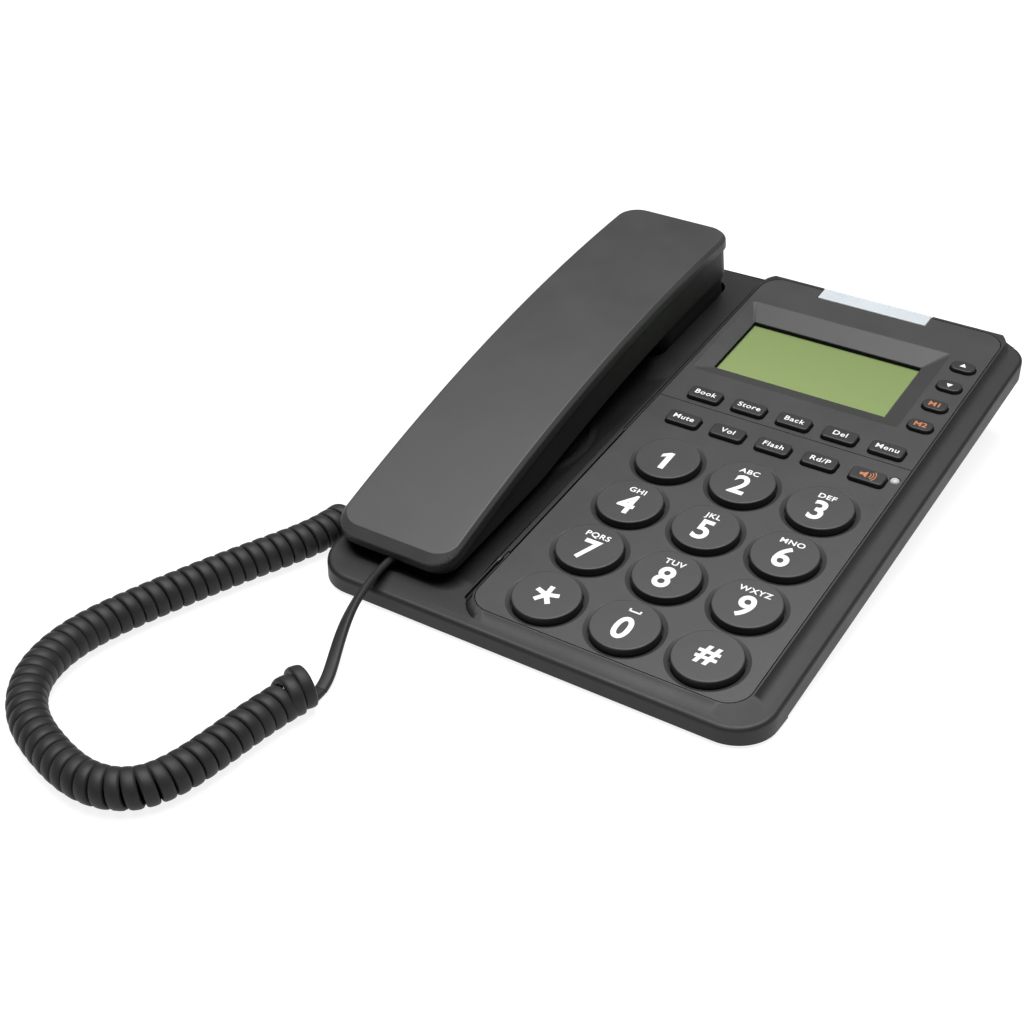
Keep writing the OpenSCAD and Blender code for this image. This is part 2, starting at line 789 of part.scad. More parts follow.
// Block with a four contact socket; its mouth faces -Y at the origin
module small_jack() {
    difference() {
        translate([-jack_w / 2, 0, -jack_h / 2]) cube([jack_w, jack_l, jack_h]);
        translate([-jack_w / 2 + jack_wall, -1, -jack_h / 2 + jack_wall / 2])
            cube([jack_w - 2 * jack_wall, jack_l, jack_h - jack_wall]);
    }
}

module small_plug() {
    w = jack_w - 2 * jack_wall - 2 * plug_clear;
    h = jack_h - jack_wall - 2 * plug_clear;
    translate([-w / 2, 0.2, -h / 2]) cube([w, jack_l - 1.6, h]);
    translate([-w / 2 + 0.8, -0.5, -h / 2 + 0.8]) cube([w - 1.6, 0.7 + eps, h - 1.6]);
}

module base_handset_jack() {
    color("#232325") translate([base_jack_x, base_jack_y, base_jack_z]) rotate([0, 0, -90]) small_jack();
}

module rubber_feet() {
    color("#1c1c1c") for (x = [-1, 1], y = [-1, 1]) translate([x * foot_x, y * foot_y, 0])
        cylinder(r = foot_r, h = floor_z + foot_sink);
}

module base_screws() {
    color("silver") for (p = base_screws_at) translate([p[0], deck_y(p[1]), floor_z + 0.05]) {
        cylinder(r = head_r, h = head_t);
        cylinder(r = screw_r, h = 7);
    }
}

module battery_door() {
    lap = door_edge - door_gap;
    color("#58585a") translate([bat_x - box_l / 2 - lap, bat_y - box_w / 2 - lap, floor_z])
        cube([box_l + 2 * lap, box_w + 2 * lap, door_t]);
}

module battery_cells() {
    z = box_low + cell_clear + cell_d / 2;
    color("#b87333") for (i = [-1 : 1]) translate([bat_x - cell_l / 2, bat_y + i * cell_pitch, z])
        rotate([0, 90, 0]) cylinder(d = cell_d, h = cell_l);
}

module battery_contacts() {
    out = box_l / 2 - contact_t / 2;
    color("silver") for (i = [-1 : 1], e = [-1, 1])
        translate([bat_x + e * out, bat_y + i * cell_pitch, box_low + cell_clear + cell_d / 2])
            cube([contact_t, contact_w, contact_w], center = true);
}

// Handset: drum is the solid under an arch of the given depth below the top
module drum(depth) {
    handset_frame() translate([-hs_w, 0, hs_arch - hs_radius]) rotate([0, 90, 0])
        cylinder(r = hs_radius - depth, h = 2 * hs_w, $fn = 720);
}

module hs_plan(inset) {
    handset_frame() translate([0, 0, -tall]) linear_extrude(2 * tall)
        rrect(hs_w - 2 * inset, hs_len - 2 * inset, max(hs_r - inset, 1));
}

module ear_prism(t) {
    intersection() {
        deck_profile(hs_x - ear_half + t, hs_x + ear_half - t, [[ear_v0 + t, ear_n + t], [ear_v1 - t, ear_n + t],
            [ear_v1 + 1 - t, 40], [ear_v0 - 16 + t, 40], [ear_v0 - ear_lean + t, 0]]);
        deck_plate(hs_x - ear_half + t, hs_x + ear_half - t, ear_v0 - 40, ear_v1 + 0.5 - t,
            ear_r - t, ear_n - 1, 41);
    }
}

module mouth_prism(t) {
    deck_profile(hs_x - mouth_half + t, hs_x + mouth_half - t, [[mouth_v0 + t, mouth_n + t],
        [mouth_v1 - t, mouth_n + t], [mouth_v1 + 10 - t, 12], [mouth_v0 - 8 + t, 12]]);
}

module handset_upper_shell() {
    color("#5e5e61") difference() {
        union() {
            difference() {
                intersection() {
                    hs_plan(0);
                    drum(0);
                }
                drum(hs_lip);
                intersection() {
                    hs_plan(hs_wall + 0.2);
                    drum(hs_wall);
                }
            }
            intersection() {
                drum(hs_wall / 2);
                handset_frame() for (s = hs_screw_s) translate([0, s, hs_boss_h])
                    cylinder(r = boss_r, h = hs_grip);
            }
        }
        handset_frame() for (s = hs_screw_s) translate([0, s, hs_boss_h - 1]) cylinder(r = pilot_r, h = 10);
    }
}

module hs_low_band(inset, low_depth, low_n) {
    intersection() {
        difference() {
            hs_plan(inset);
            drum(low_depth);
        }
        deck_slab(low_n, tall);
    }
}

module handset_lower_shell() {
    seam = hs_lip + hs_seam;
    color("#4e4e50") difference() {
        union() {
            intersection() {
                drum(seam);
                difference() {
                    union() {
                        hs_low_band(hs_low_inset, hs_grip, hs_rest_n);
                        intersection() {
                            hs_plan(hs_low_inset);
                            union() {
                                ear_prism(0);
                                mouth_prism(0);
                            }
                        }
                    }
                    hs_low_band(hs_low_inset + hs_wall, hs_grip - hs_wall, hs_rest_n + hs_wall);
                    intersection() {
                        hs_plan(hs_low_inset + hs_wall);
                        union() {
                            ear_prism(hs_wall);
                            mouth_prism(hs_wall);
                        }
                    }
                }
            }
            handset_frame() for (s = hs_screw_s) translate([0, s, hs_pad_h])
                cylinder(r = boss_r + 1, h = hs_boss_h - seat_gap - hs_pad_h);
        }
        handset_frame() for (s = hs_screw_s) translate([0, s, -tall]) {
            cylinder(r = hole_r, h = 2 * tall);
            cylinder(r = head_r + 0.3, h = tall + hs_screw_head_h);
        }
        deck() translate([hs_x, 0, hs_jack_n])
            translate([-jack_w / 2 - jack_gap, 5, -jack_h / 2 - jack_gap])
            cube([jack_w + 2 * jack_gap, hs_jack_v + jack_l + jack_gap - 5, jack_h + 2 * jack_gap]);
        for (i = [0 : 6]) deck() translate([hs_x + ear_hole(i)[0], ear_mid + ear_hole(i)[1], ear_n - 1])
            cylinder(r = 1.2, h = hs_wall + 2);
        deck() translate([hs_x, mouth_mid, mouth_n - 1]) cylinder(r = 1.2, h = hs_wall + 2);
    }
}

function ear_hole(i) = i == 6 ? [0, 0] : ear_holes_r * [cos(60 * i), sin(60 * i)];

module earpiece_capsule() {
    color("#9a9ca0") deck() translate([hs_x, ear_mid, ear_n + hs_wall + 0.05]) {
        cylinder(r = earpiece_r, h = 6);
        translate([0, 0, 6 - eps]) cylinder(r = earpiece_r - earpiece_step, h = 3.5);
    }
}

module mouthpiece_capsule() {
    color("#6d6f72") deck() translate([hs_x, mouth_mid, mouth_n + hs_wall + 0.05]) cylinder(r = 4.85, h = 5);
}

module handset_jack() {
    color("#232325") deck() translate([hs_x, hs_jack_v, hs_jack_n]) small_jack();
}

module handset_weight() {
    low = hs_arch - hs_grip + hs_wall + seat_gap;
    color("#8d9094") handset_frame() translate([-weight_w / 2, -28, low])
        cube([weight_w, weight_l, weight_t]);
}

module handset_screws() {
    color("silver") handset_frame() for (s = hs_screw_s) translate([0, s, hs_screw_head_h - head_t]) {
        cylinder(r = head_r, h = head_t - 0.05);
        cylinder(r = screw_r, h = 10);
    }
}

module cord_plug_base() {
    color("#d9d9d4") translate([base_jack_x, base_jack_y, base_jack_z]) rotate([0, 0, -90])
        translate([0, -plug_out, 0]) small_plug();
}

module cord_plug_handset() {
    color("#d9d9d4") deck() translate([hs_x, hs_jack_v, hs_jack_n]) small_plug();
}

// Cord: smooth curve through its control points, with mirrored end points
function mirrored(p) = concat([2 * p[0] - p[1]], p, [2 * p[len(p) - 1] - p[len(p) - 2]]);
function blend4(a, b, c, d, t) = (pow(1 - t, 3) * a + (3 * t * t * t - 6 * t * t + 4) * b
    + (-3 * t * t * t + 3 * t * t + 3 * t + 1) * c + t * t * t * d) / 6;
function curve(p, steps) = let (q = mirrored(p), n = len(p) - 1)
    [for (i = [0 : n * steps]) let (k = min(floor(i / steps), n - 1), t = i / steps - k)
        blend4(q[k], q[k + 1], q[k + 2], q[k + 3], t)];
function unit(a) = a / norm(a);
function tangent(p, i) = unit(p[min(i + 1, len(p) - 1)] - p[max(i - 1, 0)]);
function turn_rate(p, i) = let (j = min(max(i, 1), len(p) - 2), a = p[j] - p[j - 1], b = p[j + 1] - p[j])
    abs(a[0] * b[1] - a[1] * b[0]) / (norm(a) * norm(b) * (norm(a) + norm(b)) / 2);

// Turns of the coil: wider pitch where its middle line bends, easing to straight at both ends
coil_steps = 60;
coil_line = curve(coil_points, coil_steps);
coil_count = len(coil_line);
function step_len(i) = i < coil_count - 1 ? norm(coil_line[i + 1] - coil_line[i]) : 0;
coil_run = [for (i = 0, s = 0; i < coil_count; s = s + step_len(i), i = i + 1) s];
coil_len = coil_run[coil_count - 1];
function bend_near(i) = max([for (k = [-12 : 6 : 12]) turn_rate(coil_line, i + k)]);
coil_pitch = [for (i = [0 : coil_count - 1]) (cord_w + curl_gap) / (1 - min(bend_near(i) * coil_d / 2, 0.7))];
function ease(s) = min(1, max(0, s - coil_straight) / ease_len,
    max(0, coil_len - coil_straight - s) / ease_len);
coil_turn = [for (i = 0, a = 0; i < coil_count;
    a = a + 360 * ease(coil_run[i]) * step_len(i) / coil_pitch[i], i = i + 1) a];
turns_free = coil_turn[coil_count - 1] / 360;
turns = round(turns_free);
turn_fit = turns / turns_free;
function coil_at(i, a) = let (t = tangent(coil_line, i), side = [-t[1], t[0], 0])
    [coil_line[i][0], coil_line[i][1], coil_z] + coil_r * (side * sin(a) * curl_hand - [0, 0, 1] * cos(a));

// Rings of the coil: as many to each curl as named, found by stepping along the angle
coil_total = turns * 360 + coil_len * 0.01;
coil_rings = turns * curl_rings + 6;
coil_table = [for (k = [0 : coil_count - 1]) [coil_turn[k] * turn_fit + coil_run[k] * 0.01, k]];
ring_at = [for (j = [0 : coil_rings]) round(lookup(coil_total * j / coil_rings, coil_table))];
coil_path = [for (i = ring_at) coil_at(i, coil_turn[i] * turn_fit)];

// Tube of flat section: wide across, thin along the given normal
function tube_points(path, normals, sides) = [for (i = [0 : len(path) - 1])
    let (t = tangent(path, i), b = unit(cross(t, normals[i])), m = cross(b, t))
        for (k = [0 : sides - 1]) let (a = 360 * (k + 0.5) / sides)
            path[i] + b * cord_w / 2 * cos(a) + m * cord_t / 2 * sin(a)];
function tube_faces(rings, sides) = concat(
    [for (i = [0 : rings - 2], k = [0 : sides - 1])
        let (a = i * sides + k, b = i * sides + (k + 1) % sides) [a, b, b + sides]],
    [for (i = [0 : rings - 2], k = [0 : sides - 1])
        let (a = i * sides + k, b = i * sides + (k + 1) % sides) [a, b + sides, a + sides]],
    [for (k = [1 : sides - 2]) [0, k + 1, k]],
    [for (k = [1 : sides - 2]) (rings - 1) * sides * [1, 1, 1] + [0, k, k + 1]]);

coil_sides = 6;
coil_normals = [for (i = ring_at) let (a = coil_turn[i] * turn_fit, t = tangent(coil_line, i))
    [-t[1], t[0], 0] * sin(a) * curl_hand - [0, 0, 1] * cos(a)];
coil_vertices = tube_points(coil_path, coil_normals, coil_sides);
coil_gap = min([for (i = [0 : len(coil_path) - 7], k = [6 : 11]) if (i + k < len(coil_path))
    min([for (a = [0 : coil_sides - 1], b = [0 : coil_sides - 1])
        norm(coil_vertices[i * coil_sides + a] - coil_vertices[(i + k) * coil_sides + b])])]);

lead_sides = 8;
lead_steps = 3;

module cord_tube(vertices, sides) {
    polyhedron(vertices, tube_faces(len(vertices) / sides, sides));
}

function lead_normal(path, i, twist) = let (a = twist * sin(180 * i / (len(path) - 1)))
    [0, 0, 1] * cos(a) + unit(cross(tangent(path, i), [0, 0, 1])) * sin(a);

module lead(points, twist) {
    path = curve(points, lead_steps);
    normals = [for (i = [0 : len(path) - 1]) lead_normal(path, i, twist)];
    color("#2b2b2d") cord_tube(tube_points(path, normals, lead_sides), lead_sides);
}

module curly_cord_coil() {
    echo(curls = turns, least_gap_between_curls = coil_gap);
    color("#2b2b2d") cord_tube(coil_vertices, coil_sides);
}

module cord_lead_base() {
    lead(lead_base_points, 0);
}

module cord_lead_handset() {
    lead(lead_handset_points, lead_handset_twist);
}

// Keys and buttons: a cap through the fascia and a flange that holds it from below
module number_key(i) {
    r = key_d / 2;
    rf = r + key_gap + flange_w;
    color("#3c3c3e") deck() translate([number_x(i), number_v(i), 0]) rotate_extrude()
        polygon([[0, flange_low], [rf, flange_low], [rf, flange_top], [r, flange_top],
            [r, key_rise - chamfer], [r - chamfer, key_rise], [0, key_rise]]);
}

module button(x, v, w, d, r, rise) {
    lap = key_gap + flange_w / 2;
    color("#3c3c3e") deck() translate([x, v, flange_low]) {
        linear_extrude(rise - flange_low) rrect(w, d, r);
        linear_extrude(flange_t) rrect(w + 2 * lap, d + 2 * lap, r + lap);
    }
}

module side_button(i) {
    button(side_x, side_v(i), side_w, side_d, side_r, side_rise);
}

base_upper_shell();
base_lower_shell();
keypad_fascia();
display_fascia();
display_window();
display_module();
message_lamp_lens();
status_lamp();
main_board();
key_mat();
hook_plunger();
hook_switch();
loudspeaker();
handsfree_microphone();
line_jack();
base_handset_jack();
rubber_feet();
base_screws();
battery_door();
battery_cells();
battery_contacts();
handset_upper_shell();
handset_lower_shell();
earpiece_capsule();
mouthpiece_capsule();
handset_jack();
handset_weight();
handset_screws();
curly_cord_coil();
cord_lead_base();
cord_lead_handset();
cord_plug_base();
cord_plug_handset();
for (i = [0 : 11]) number_key(i);
for (i = [0 : 4]) button(fn_x(i), fn_above_v, fn_w, fn_d, fn_r, fn_rise);
for (i = [0 : 4]) button(fn_x(i), fn_below_v, fn_w, fn_d, fn_r, fn_rise);
for (i = [0 : 3]) side_button(i);
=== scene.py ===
import json
import math

import bmesh
import bpy
from mathutils import Matrix, Vector


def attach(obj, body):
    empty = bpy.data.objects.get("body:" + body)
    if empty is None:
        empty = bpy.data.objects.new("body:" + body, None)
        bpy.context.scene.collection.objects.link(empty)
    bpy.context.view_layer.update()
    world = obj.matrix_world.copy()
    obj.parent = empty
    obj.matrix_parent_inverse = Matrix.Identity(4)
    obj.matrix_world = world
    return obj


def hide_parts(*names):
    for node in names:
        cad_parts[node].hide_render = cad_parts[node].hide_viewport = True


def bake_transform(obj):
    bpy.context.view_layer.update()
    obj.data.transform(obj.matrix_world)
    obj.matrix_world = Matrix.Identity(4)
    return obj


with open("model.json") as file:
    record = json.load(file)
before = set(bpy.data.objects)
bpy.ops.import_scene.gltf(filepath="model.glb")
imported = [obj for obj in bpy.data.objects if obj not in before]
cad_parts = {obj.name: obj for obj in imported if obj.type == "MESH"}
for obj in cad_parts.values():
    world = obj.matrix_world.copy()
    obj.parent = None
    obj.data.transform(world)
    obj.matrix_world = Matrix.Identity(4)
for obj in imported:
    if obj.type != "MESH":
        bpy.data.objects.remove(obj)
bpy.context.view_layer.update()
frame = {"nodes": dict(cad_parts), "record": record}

# Frames: the sloping deck of the base and the arched handset, both in millimetres
DECK_TILT = 6.8
DECK_FRONT = (0, -110.2192, 9.6)
HANDSET_AT = (-57.4, 110.8, 14.3)
HANDSET_LEAN = 5.1
MM = Matrix.Scale(0.001, 4)
TILT = Matrix.Rotation(math.radians(DECK_TILT), 4, "X")
LEAN = Matrix.Rotation(math.radians(HANDSET_LEAN), 4, "X")
DECK = MM @ Matrix.Translation(DECK_FRONT) @ TILT
HANDSET = DECK @ Matrix.Translation(HANDSET_AT) @ LEAN
HANDSET_TO_DECK = DECK.inverted() @ HANDSET
UP = Vector((0, 0, 1))

# The camera stands where the photograph was taken, in metres
CAMERA_AT = (0.2213, -0.4569, 0.3303)
CAMERA_BACK = (0.451, -0.6995, 0.5544)
LENS, SENSOR = 60.32, 36


def put_in_scene(name, data):
    obj = bpy.data.objects.new(name, data)
    bpy.context.collection.objects.link(obj)
    return obj


def stand_camera():
    data = bpy.data.cameras.new("camera")
    data.sensor_width = SENSOR
    data.lens = LENS
    data.clip_start = 0.02
    camera = put_in_scene("camera", data)
    back = Vector(CAMERA_BACK).normalized()
    right = UP.cross(back).normalized()
    turn = Matrix((right, back.cross(right), back)).transposed().to_4x4()
    camera.matrix_world = Matrix.Translation(CAMERA_AT) @ turn
    bpy.context.scene.camera = camera


# Shader maths
class Value:
    """A socket of a finish, with the sums that the finishes need."""

    def __init__(self, finish, socket):
        self.finish = finish
        self.socket = socket

    def maths(self, operation, a, b=0.0):
        return self.finish.node("ShaderNodeMath", {"operation": operation}, {0: a, 1: b})

    def __add__(self, other):
        return self.maths("ADD", self, other)

    def __radd__(self, other):
        return self.maths("ADD", other, self)

    def __sub__(self, other):
        return self.maths("SUBTRACT", self, other)

    def __rsub__(self, other):
        return self.maths("SUBTRACT", other, self)

    def __mul__(self, other):
        return self.maths("MULTIPLY", self, other)

    def __rmul__(self, other):
        return self.maths("MULTIPLY", other, self)

    def __gt__(self, other):
        return self.maths("GREATER_THAN", self, other)

    def size(self):
        return self.maths("ABSOLUTE", self)

    def repeat(self, step):
        return self.maths("PINGPONG", self, step)


class Finish:
    """A material on the Principled shader, built a node at a time."""

    def __init__(self, name, constants):
        self.material = bpy.data.materials.new(name)
        self.material.use_nodes = True
        self.tree = self.material.node_tree
        self.shader = self.tree.nodes["Principled BSDF"]
        for socket, value in constants.items():
            self.shader.inputs[socket].default_value = value

    def node(self, kind, settings, sockets, out=0):
        """Adds a node: its settings first, then the values or links of its sockets."""
        made = self.tree.nodes.new(kind)
        for name, value in settings.items():
            setattr(made, name, value)
        for name, value in sockets.items():
            self.feed(made.inputs[name], value)
        return Value(self, made.outputs[out])

    def feed(self, socket, value):
        if isinstance(value, Value):
            self.tree.links.new(value.socket, socket)
        else:
            socket.default_value = value

    def paint(self, sockets):
        """Feeds the shader and gives the finished material."""
        for name, value in sockets.items():
            self.feed(self.shader.inputs[name], value)
        return self.material

    def place(self):
        return self.node("ShaderNodeTexCoord", {}, {}, "Object")

    def split(self, vector):
        """The three parts of a vector."""
        parts = self.node("ShaderNodeSeparateXYZ", {}, {"Vector": vector}).socket.node
        return [Value(self, parts.outputs[axis]) for axis in "XYZ"]

    def step(self, value, low, high):
        """Nought at low, rising smoothly to one at high, on whichever side that is."""
        return self.node("ShaderNodeMapRange", {"interpolation_type": "SMOOTHSTEP"},
                         {"Value": value, "From Min": low, "From Max": high})

    def noise(self, scale, detail, stretch=(1, 1, 1)):
        where = self.node("ShaderNodeMapping", {}, {"Vector": self.place(), "Scale": stretch})
        return self.node("ShaderNodeTexNoise", {},
                         {"Vector": where, "Scale": scale, "Detail": detail})

    def cells(self, scale):
        return self.node("ShaderNodeTexVoronoi", {}, {"Vector": self.place(), "Scale": scale})

    def mix(self, share, a, b):
        """Mixes two colours, on the sockets that a Mix node keeps for colour."""
        return self.node("ShaderNodeMix", {"data_type": "RGBA"}, {0: share, 6: a, 7: b}, 2)

    def bump(self, height, depth_mm):
        return self.node("ShaderNodeBump", {}, {"Height": height, "Distance": depth_mm / 1000})


def grey(level):
    return (level, level, level, 1)


def tinted(colour, share):
    return tuple(min(1, c * share) for c in colour[:3]) + (1,)


# Where the shade painted into the cradle begins and where it is full, in metres
CRADLE_LEFT, CRADLE_RIGHT = (-0.078, -0.070), (-0.0195, -0.020)
CRADLE_FRONT = (-0.110, -0.104)
FLOW_CLOUDS = 0.12


def cradle_shade_mask(finish):
    """One where the cradle's painted shade lies and nought outside it."""
    across, back, _ = finish.split(finish.place())
    return (finish.step(across, *CRADLE_LEFT) * finish.step(across, *CRADLE_RIGHT)
            * finish.step(back, *CRADLE_FRONT))


def moulded(name, colour, roughness, grain=0.5, depth=0.012, cradle=None):
    """Spark-eroded moulded plastic: fine pebbled grain, faint flow clouds and handling marks.

    Grain and depth are in millimetres. A share for the cradle darkens the colour there, as painted
    shade of the handset.
    """
    finish = Finish(name, {"IOR": 1.5, "Specular IOR Level": 0.36})
    cloud = finish.noise(38, 3)
    pebble = finish.cells(1000 / grain)
    fine = finish.noise(2600 / grain, 2)
    handled = finish.noise(95, 5)
    tone = finish.mix(cloud, tinted(colour, 1 - FLOW_CLOUDS), tinted(colour, 1 + FLOW_CLOUDS))
    # Painted shade: the cradle under the handset is darkened in the base colour
    if cradle is not None:
        tone = finish.mix(cradle_shade_mask(finish), tone, tinted(colour, cradle))
    rough = roughness + (cloud - 0.5) * 0.10 + (handled - 0.5) * 0.14 + (pebble - 0.4) * 0.06
    return finish.paint({
        "Base Color": tone,
        "Roughness": rough,
        "Normal": finish.bump(pebble * 0.7 + fine * 0.5, depth),
    })


def printed_ink(name, colour):
    """Pad-printed ink with thin spots."""
    finish = Finish(name, {"IOR": 1.45})
    patch = finish.noise(900, 3)
    return finish.paint({
        "Base Color": finish.mix(patch, tinted(colour, 0.86), colour),
        "Roughness": 0.42 + patch * 0.16,
        "Normal": finish.bump(patch, 0.01),
    })


def cord_rubber(name):
    """Soft vinyl sheath: satin, finely rough and with dusty patches."""
    finish = Finish(name, {"IOR": 1.5, "Specular IOR Level": 0.22})
    patch = finish.noise(160, 4)
    fine = finish.noise(2400, 2)
    return finish.paint({
        "Base Color": finish.mix(patch, grey(0.014), grey(0.022)),
        "Roughness": 0.40 + patch * 0.2,
        "Normal": finish.bump(fine * 0.6 + patch, 0.02),
    })


# The display glass, in metres and level with the deck
GLASS_X, GLASS_Y = 0.01755, 0.06644
GLASS_HALF_W, GLASS_HALF_D = 0.0331, 0.0166
PALE_AT, GREEN_AT = 0.048, 0.082
DOT_PITCH, DOT_GAP = 0.00035, 0.00028
LCD_GREEN, LCD_PALE = (0.190, 0.254, 0.097, 1), (0.225, 0.289, 0.117, 1)
# The dots' colour, and the near black painted shade of the recess walls beyond the glass
LCD_DOT, LCD_RECESS_SHADE = (0.15, 0.22, 0.06, 1), grey(0.006)


def green_glass(name):
    """Reflective liquid crystal panel: grey-green, paler low down, with faint unlit dots, and near
    black painted shade beyond the glass's edges.
    """
    finish = Finish(name, {"IOR": 1.45, "Specular IOR Level": 0.04})
    level = finish.node("ShaderNodeMapping", {}, {
        "Vector": finish.place(), "Rotation": (-math.radians(DECK_TILT), 0, 0)})
    across, back, _ = finish.split(level)
    dots = (across.repeat(DOT_PITCH) > DOT_GAP) + (back.repeat(DOT_PITCH) > DOT_GAP)
    speck = finish.noise(700, 3)
    pale = finish.node("ShaderNodeMapRange", {}, {
        "Value": back, "From Min": PALE_AT, "From Max": GREEN_AT, "To Min": 1.0, "To Max": 0.0})
    shade = finish.mix(pale, LCD_GREEN, LCD_PALE)
    shade = finish.mix(dots * 0.05 + speck * 0.06, shade, LCD_DOT)
    # Painted shade: beyond the glass's edges the panel is near black, for the shadow of the recess
    # walls
    beside = (across - GLASS_X).size() > GLASS_HALF_W
    beyond = (back - GLASS_Y).size() > GLASS_HALF_D
    shade = finish.mix(beside + beyond > 0.5, shade, LCD_RECESS_SHADE)
    return finish.paint({"Base Color": shade, "Roughness": 0.34 + speck * 0.12})


def clear_window(name):
    """Clear acrylic over the display, almost invisible, with a little gloss."""
    finish = Finish(name, {"IOR": 1.35, "Base Color": (0.03, 0.035, 0.03, 1), "Alpha": 0.06})
    haze = finish.noise(120, 4)
    return finish.paint({"Roughness": 0.10 + haze * 0.08})


def frosted_lens(name, colour):
    """Milky diffusing plastic."""
    finish = Finish(name, {"IOR": 1.46, "Subsurface Weight": 0.25, "Subsurface Scale": 0.004})
    cloud = finish.noise(120, 4)
    fine = finish.cells(1800)
    return finish.paint({
        "Base Color": finish.mix(cloud, tinted(colour, 0.9), colour),
        "Roughness": 0.34 + cloud * 0.14,
        "Normal": finish.bump(fine, 0.008),
    })


def bright_metal(name, colour, roughness):
    """Plated metal with fine turning marks."""
    finish = Finish(name, {"Metallic": 1.0})
    marks = finish.noise(500, 4, (1, 1, 9))
    return finish.paint({
        "Base Color": finish.mix(marks, tinted(colour, 0.8), colour),
        "Roughness": roughness + marks * 0.2,
        "Normal": finish.bump(marks, 0.008),
    })


def solder_board(name):
    """Circuit board: green resist with paler tracks."""
    finish = Finish(name, {"IOR": 1.5})
    tracks = finish.cells(220) > 0.42
    cloud = finish.noise(200, 3)
    return finish.paint({
        "Base Color": finish.mix(tracks, (0.012, 0.075, 0.028, 1), (0.03, 0.13, 0.05, 1)),
        "Roughness": 0.35 + cloud * 0.2,
        "Normal": finish.bump(tracks, 0.03),
    })


# One finish for each material slot of the record, and those of the printing and of the painted
# shade on the key walls
FINISHES = {
    # The shell's cradle carries painted shade, its colour darkened to four tenths there
    "base_shell": moulded("shell_plastic_cradle_shade", grey(0.0128), 0.50, cradle=0.4),
    "lower_shell": moulded("tray_plastic", grey(0.0135), 0.50, 0.7),
    "fascia": moulded("fascia_plastic", grey(0.0330), 0.38),
    "handset_top": moulded("handset_cap_plastic", grey(0.0310), 0.44),
    "handset_under": moulded("handset_under_plastic", grey(0.020), 0.50),
    "keys": moulded("key_plastic", grey(0.0315), 0.42, 0.4),
    "buttons": moulded("button_plastic", grey(0.0130), 0.42, 0.4),
    "cord": cord_rubber("cord_sheath"),
    "display": green_glass("display_glass_recess_shade"),
    "window": clear_window("window_acrylic"),
    "lamp_lens": frosted_lens("lamp_lens_plastic", (0.43, 0.465, 0.49, 1)),
    "status_lens": frosted_lens("status_lamp_plastic", (0.40, 0.41, 0.40, 1)),
    "board": solder_board("board_resist"),
    "rubber_mat": moulded("contact_rubber", grey(0.05), 0.7, 0.8),
    "inner_plastic": moulded("inner_plastic", grey(0.02), 0.5),
    "foot_rubber": moulded("foot_rubber", grey(0.018), 0.75, 0.6, 0.03),
    "speaker_metal": bright_metal("speaker_can", grey(0.55), 0.3),
    "screw_steel": bright_metal("screw_steel", grey(0.6), 0.25),
    "cell_wrap": moulded("cell_wrap", (0.05, 0.12, 0.24, 1), 0.3, 0.9),
    "plug": frosted_lens("plug_plastic", (0.62, 0.62, 0.56, 1)),
}
# Painted shade: a near black finish for the upright walls of keys and buttons
WALL_SHADE = moulded("key_wall_painted_shade", grey(0.010), 0.55, 0.4)
WHITE_INK = printed_ink("white_ink", (0.70, 0.71, 0.70, 1))
ORANGE_INK = printed_ink("orange_ink", (0.43, 0.15, 0.05, 1))


def finish_cad_nodes():
    """Every solid carried over from the frame gets the finish of its slot."""
    for part in frame["record"]["subparts"]:
        mesh = frame["nodes"][part["node"]].data
        mesh.materials.clear()
        mesh.materials.append(FINISHES[part["material_slot"]])


# Making pieces
def mesh_of(bm, name):
    """Turns a bmesh into a mesh and frees it."""
    mesh = bpy.data.meshes.new(name)
    bm.to_mesh(mesh)
    bm.free()
    return mesh


def make(name, bm, place, slot, body, stands_for, inks=(), sharp=40, weighted=True):
    """Turns a bmesh into a finished piece, placed, shaded and riding on its body."""
    bmesh.ops.transform(bm, matrix=place, verts=bm.verts)
    mesh = mesh_of(bm, name)
    for material in (FINISHES[slot], *inks):
        mesh.materials.append(material)
    mesh.shade_smooth()
    mesh.set_sharp_from_angle(angle=math.radians(sharp))
    piece = put_in_scene(name, mesh)
    if weighted:
        even = piece.modifiers.new("even_shading", "WEIGHTED_NORMAL")
        even.keep_sharp = True
    if body:
        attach(piece, body)
    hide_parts(*stands_for)
    return piece


def on_deck(x, v):
    """The frame of a piece at a place on the deck."""
    return DECK @ Matrix.Translation((x, v, 0))


def move(bm, x, y, z):
    bmesh.ops.translate(bm, vec=(x, y, z), verts=bm.verts)
    return bm


def join(bm, other, material=0):
    """Adds another bmesh to this one, under the numbered material."""
    for face in other.faces:
        face.material_index = material
    mesh = mesh_of(other, "joined")
    bm.from_mesh(mesh)
    bpy.data.meshes.remove(mesh)
    return bm


def rim(bm, height):
    """Edges round the flat face at a height."""
    return [e for e in bm.edges
            if all(abs(v.co.z - height) < 1e-4 for v in e.verts)
            and any(abs(f.normal.z) < 0.5 for f in e.link_faces)]


def round_edges(bm, edges, radius, cuts):
    bmesh.ops.bevel(bm, geom=edges, offset=radius, affect="EDGES", segments=cuts, profile=0.5,
                    material=-1)


def block(width, depth, height, corner, top=0.0, foot=0.0, corner_cuts=8, cuts=4):
    """A rounded block hanging below z 0, centred on its axis."""
    bm = bmesh.new()
    bmesh.ops.create_cube(bm, size=1)
    bmesh.ops.scale(bm, vec=(width, depth, height), verts=bm.verts)
    move(bm, 0, 0, -height / 2)
    upright = [e for e in bm.edges if abs(e.verts[0].co.z - e.verts[1].co.z) > height / 2]
    round_edges(bm, upright, corner, corner_cuts)
    bm.normal_update()
    if top:
        round_edges(bm, rim(bm, 0), top, cuts)
        bm.normal_update()
    if foot:
        round_edges(bm, rim(bm, -height), foot, cuts)
    return bm


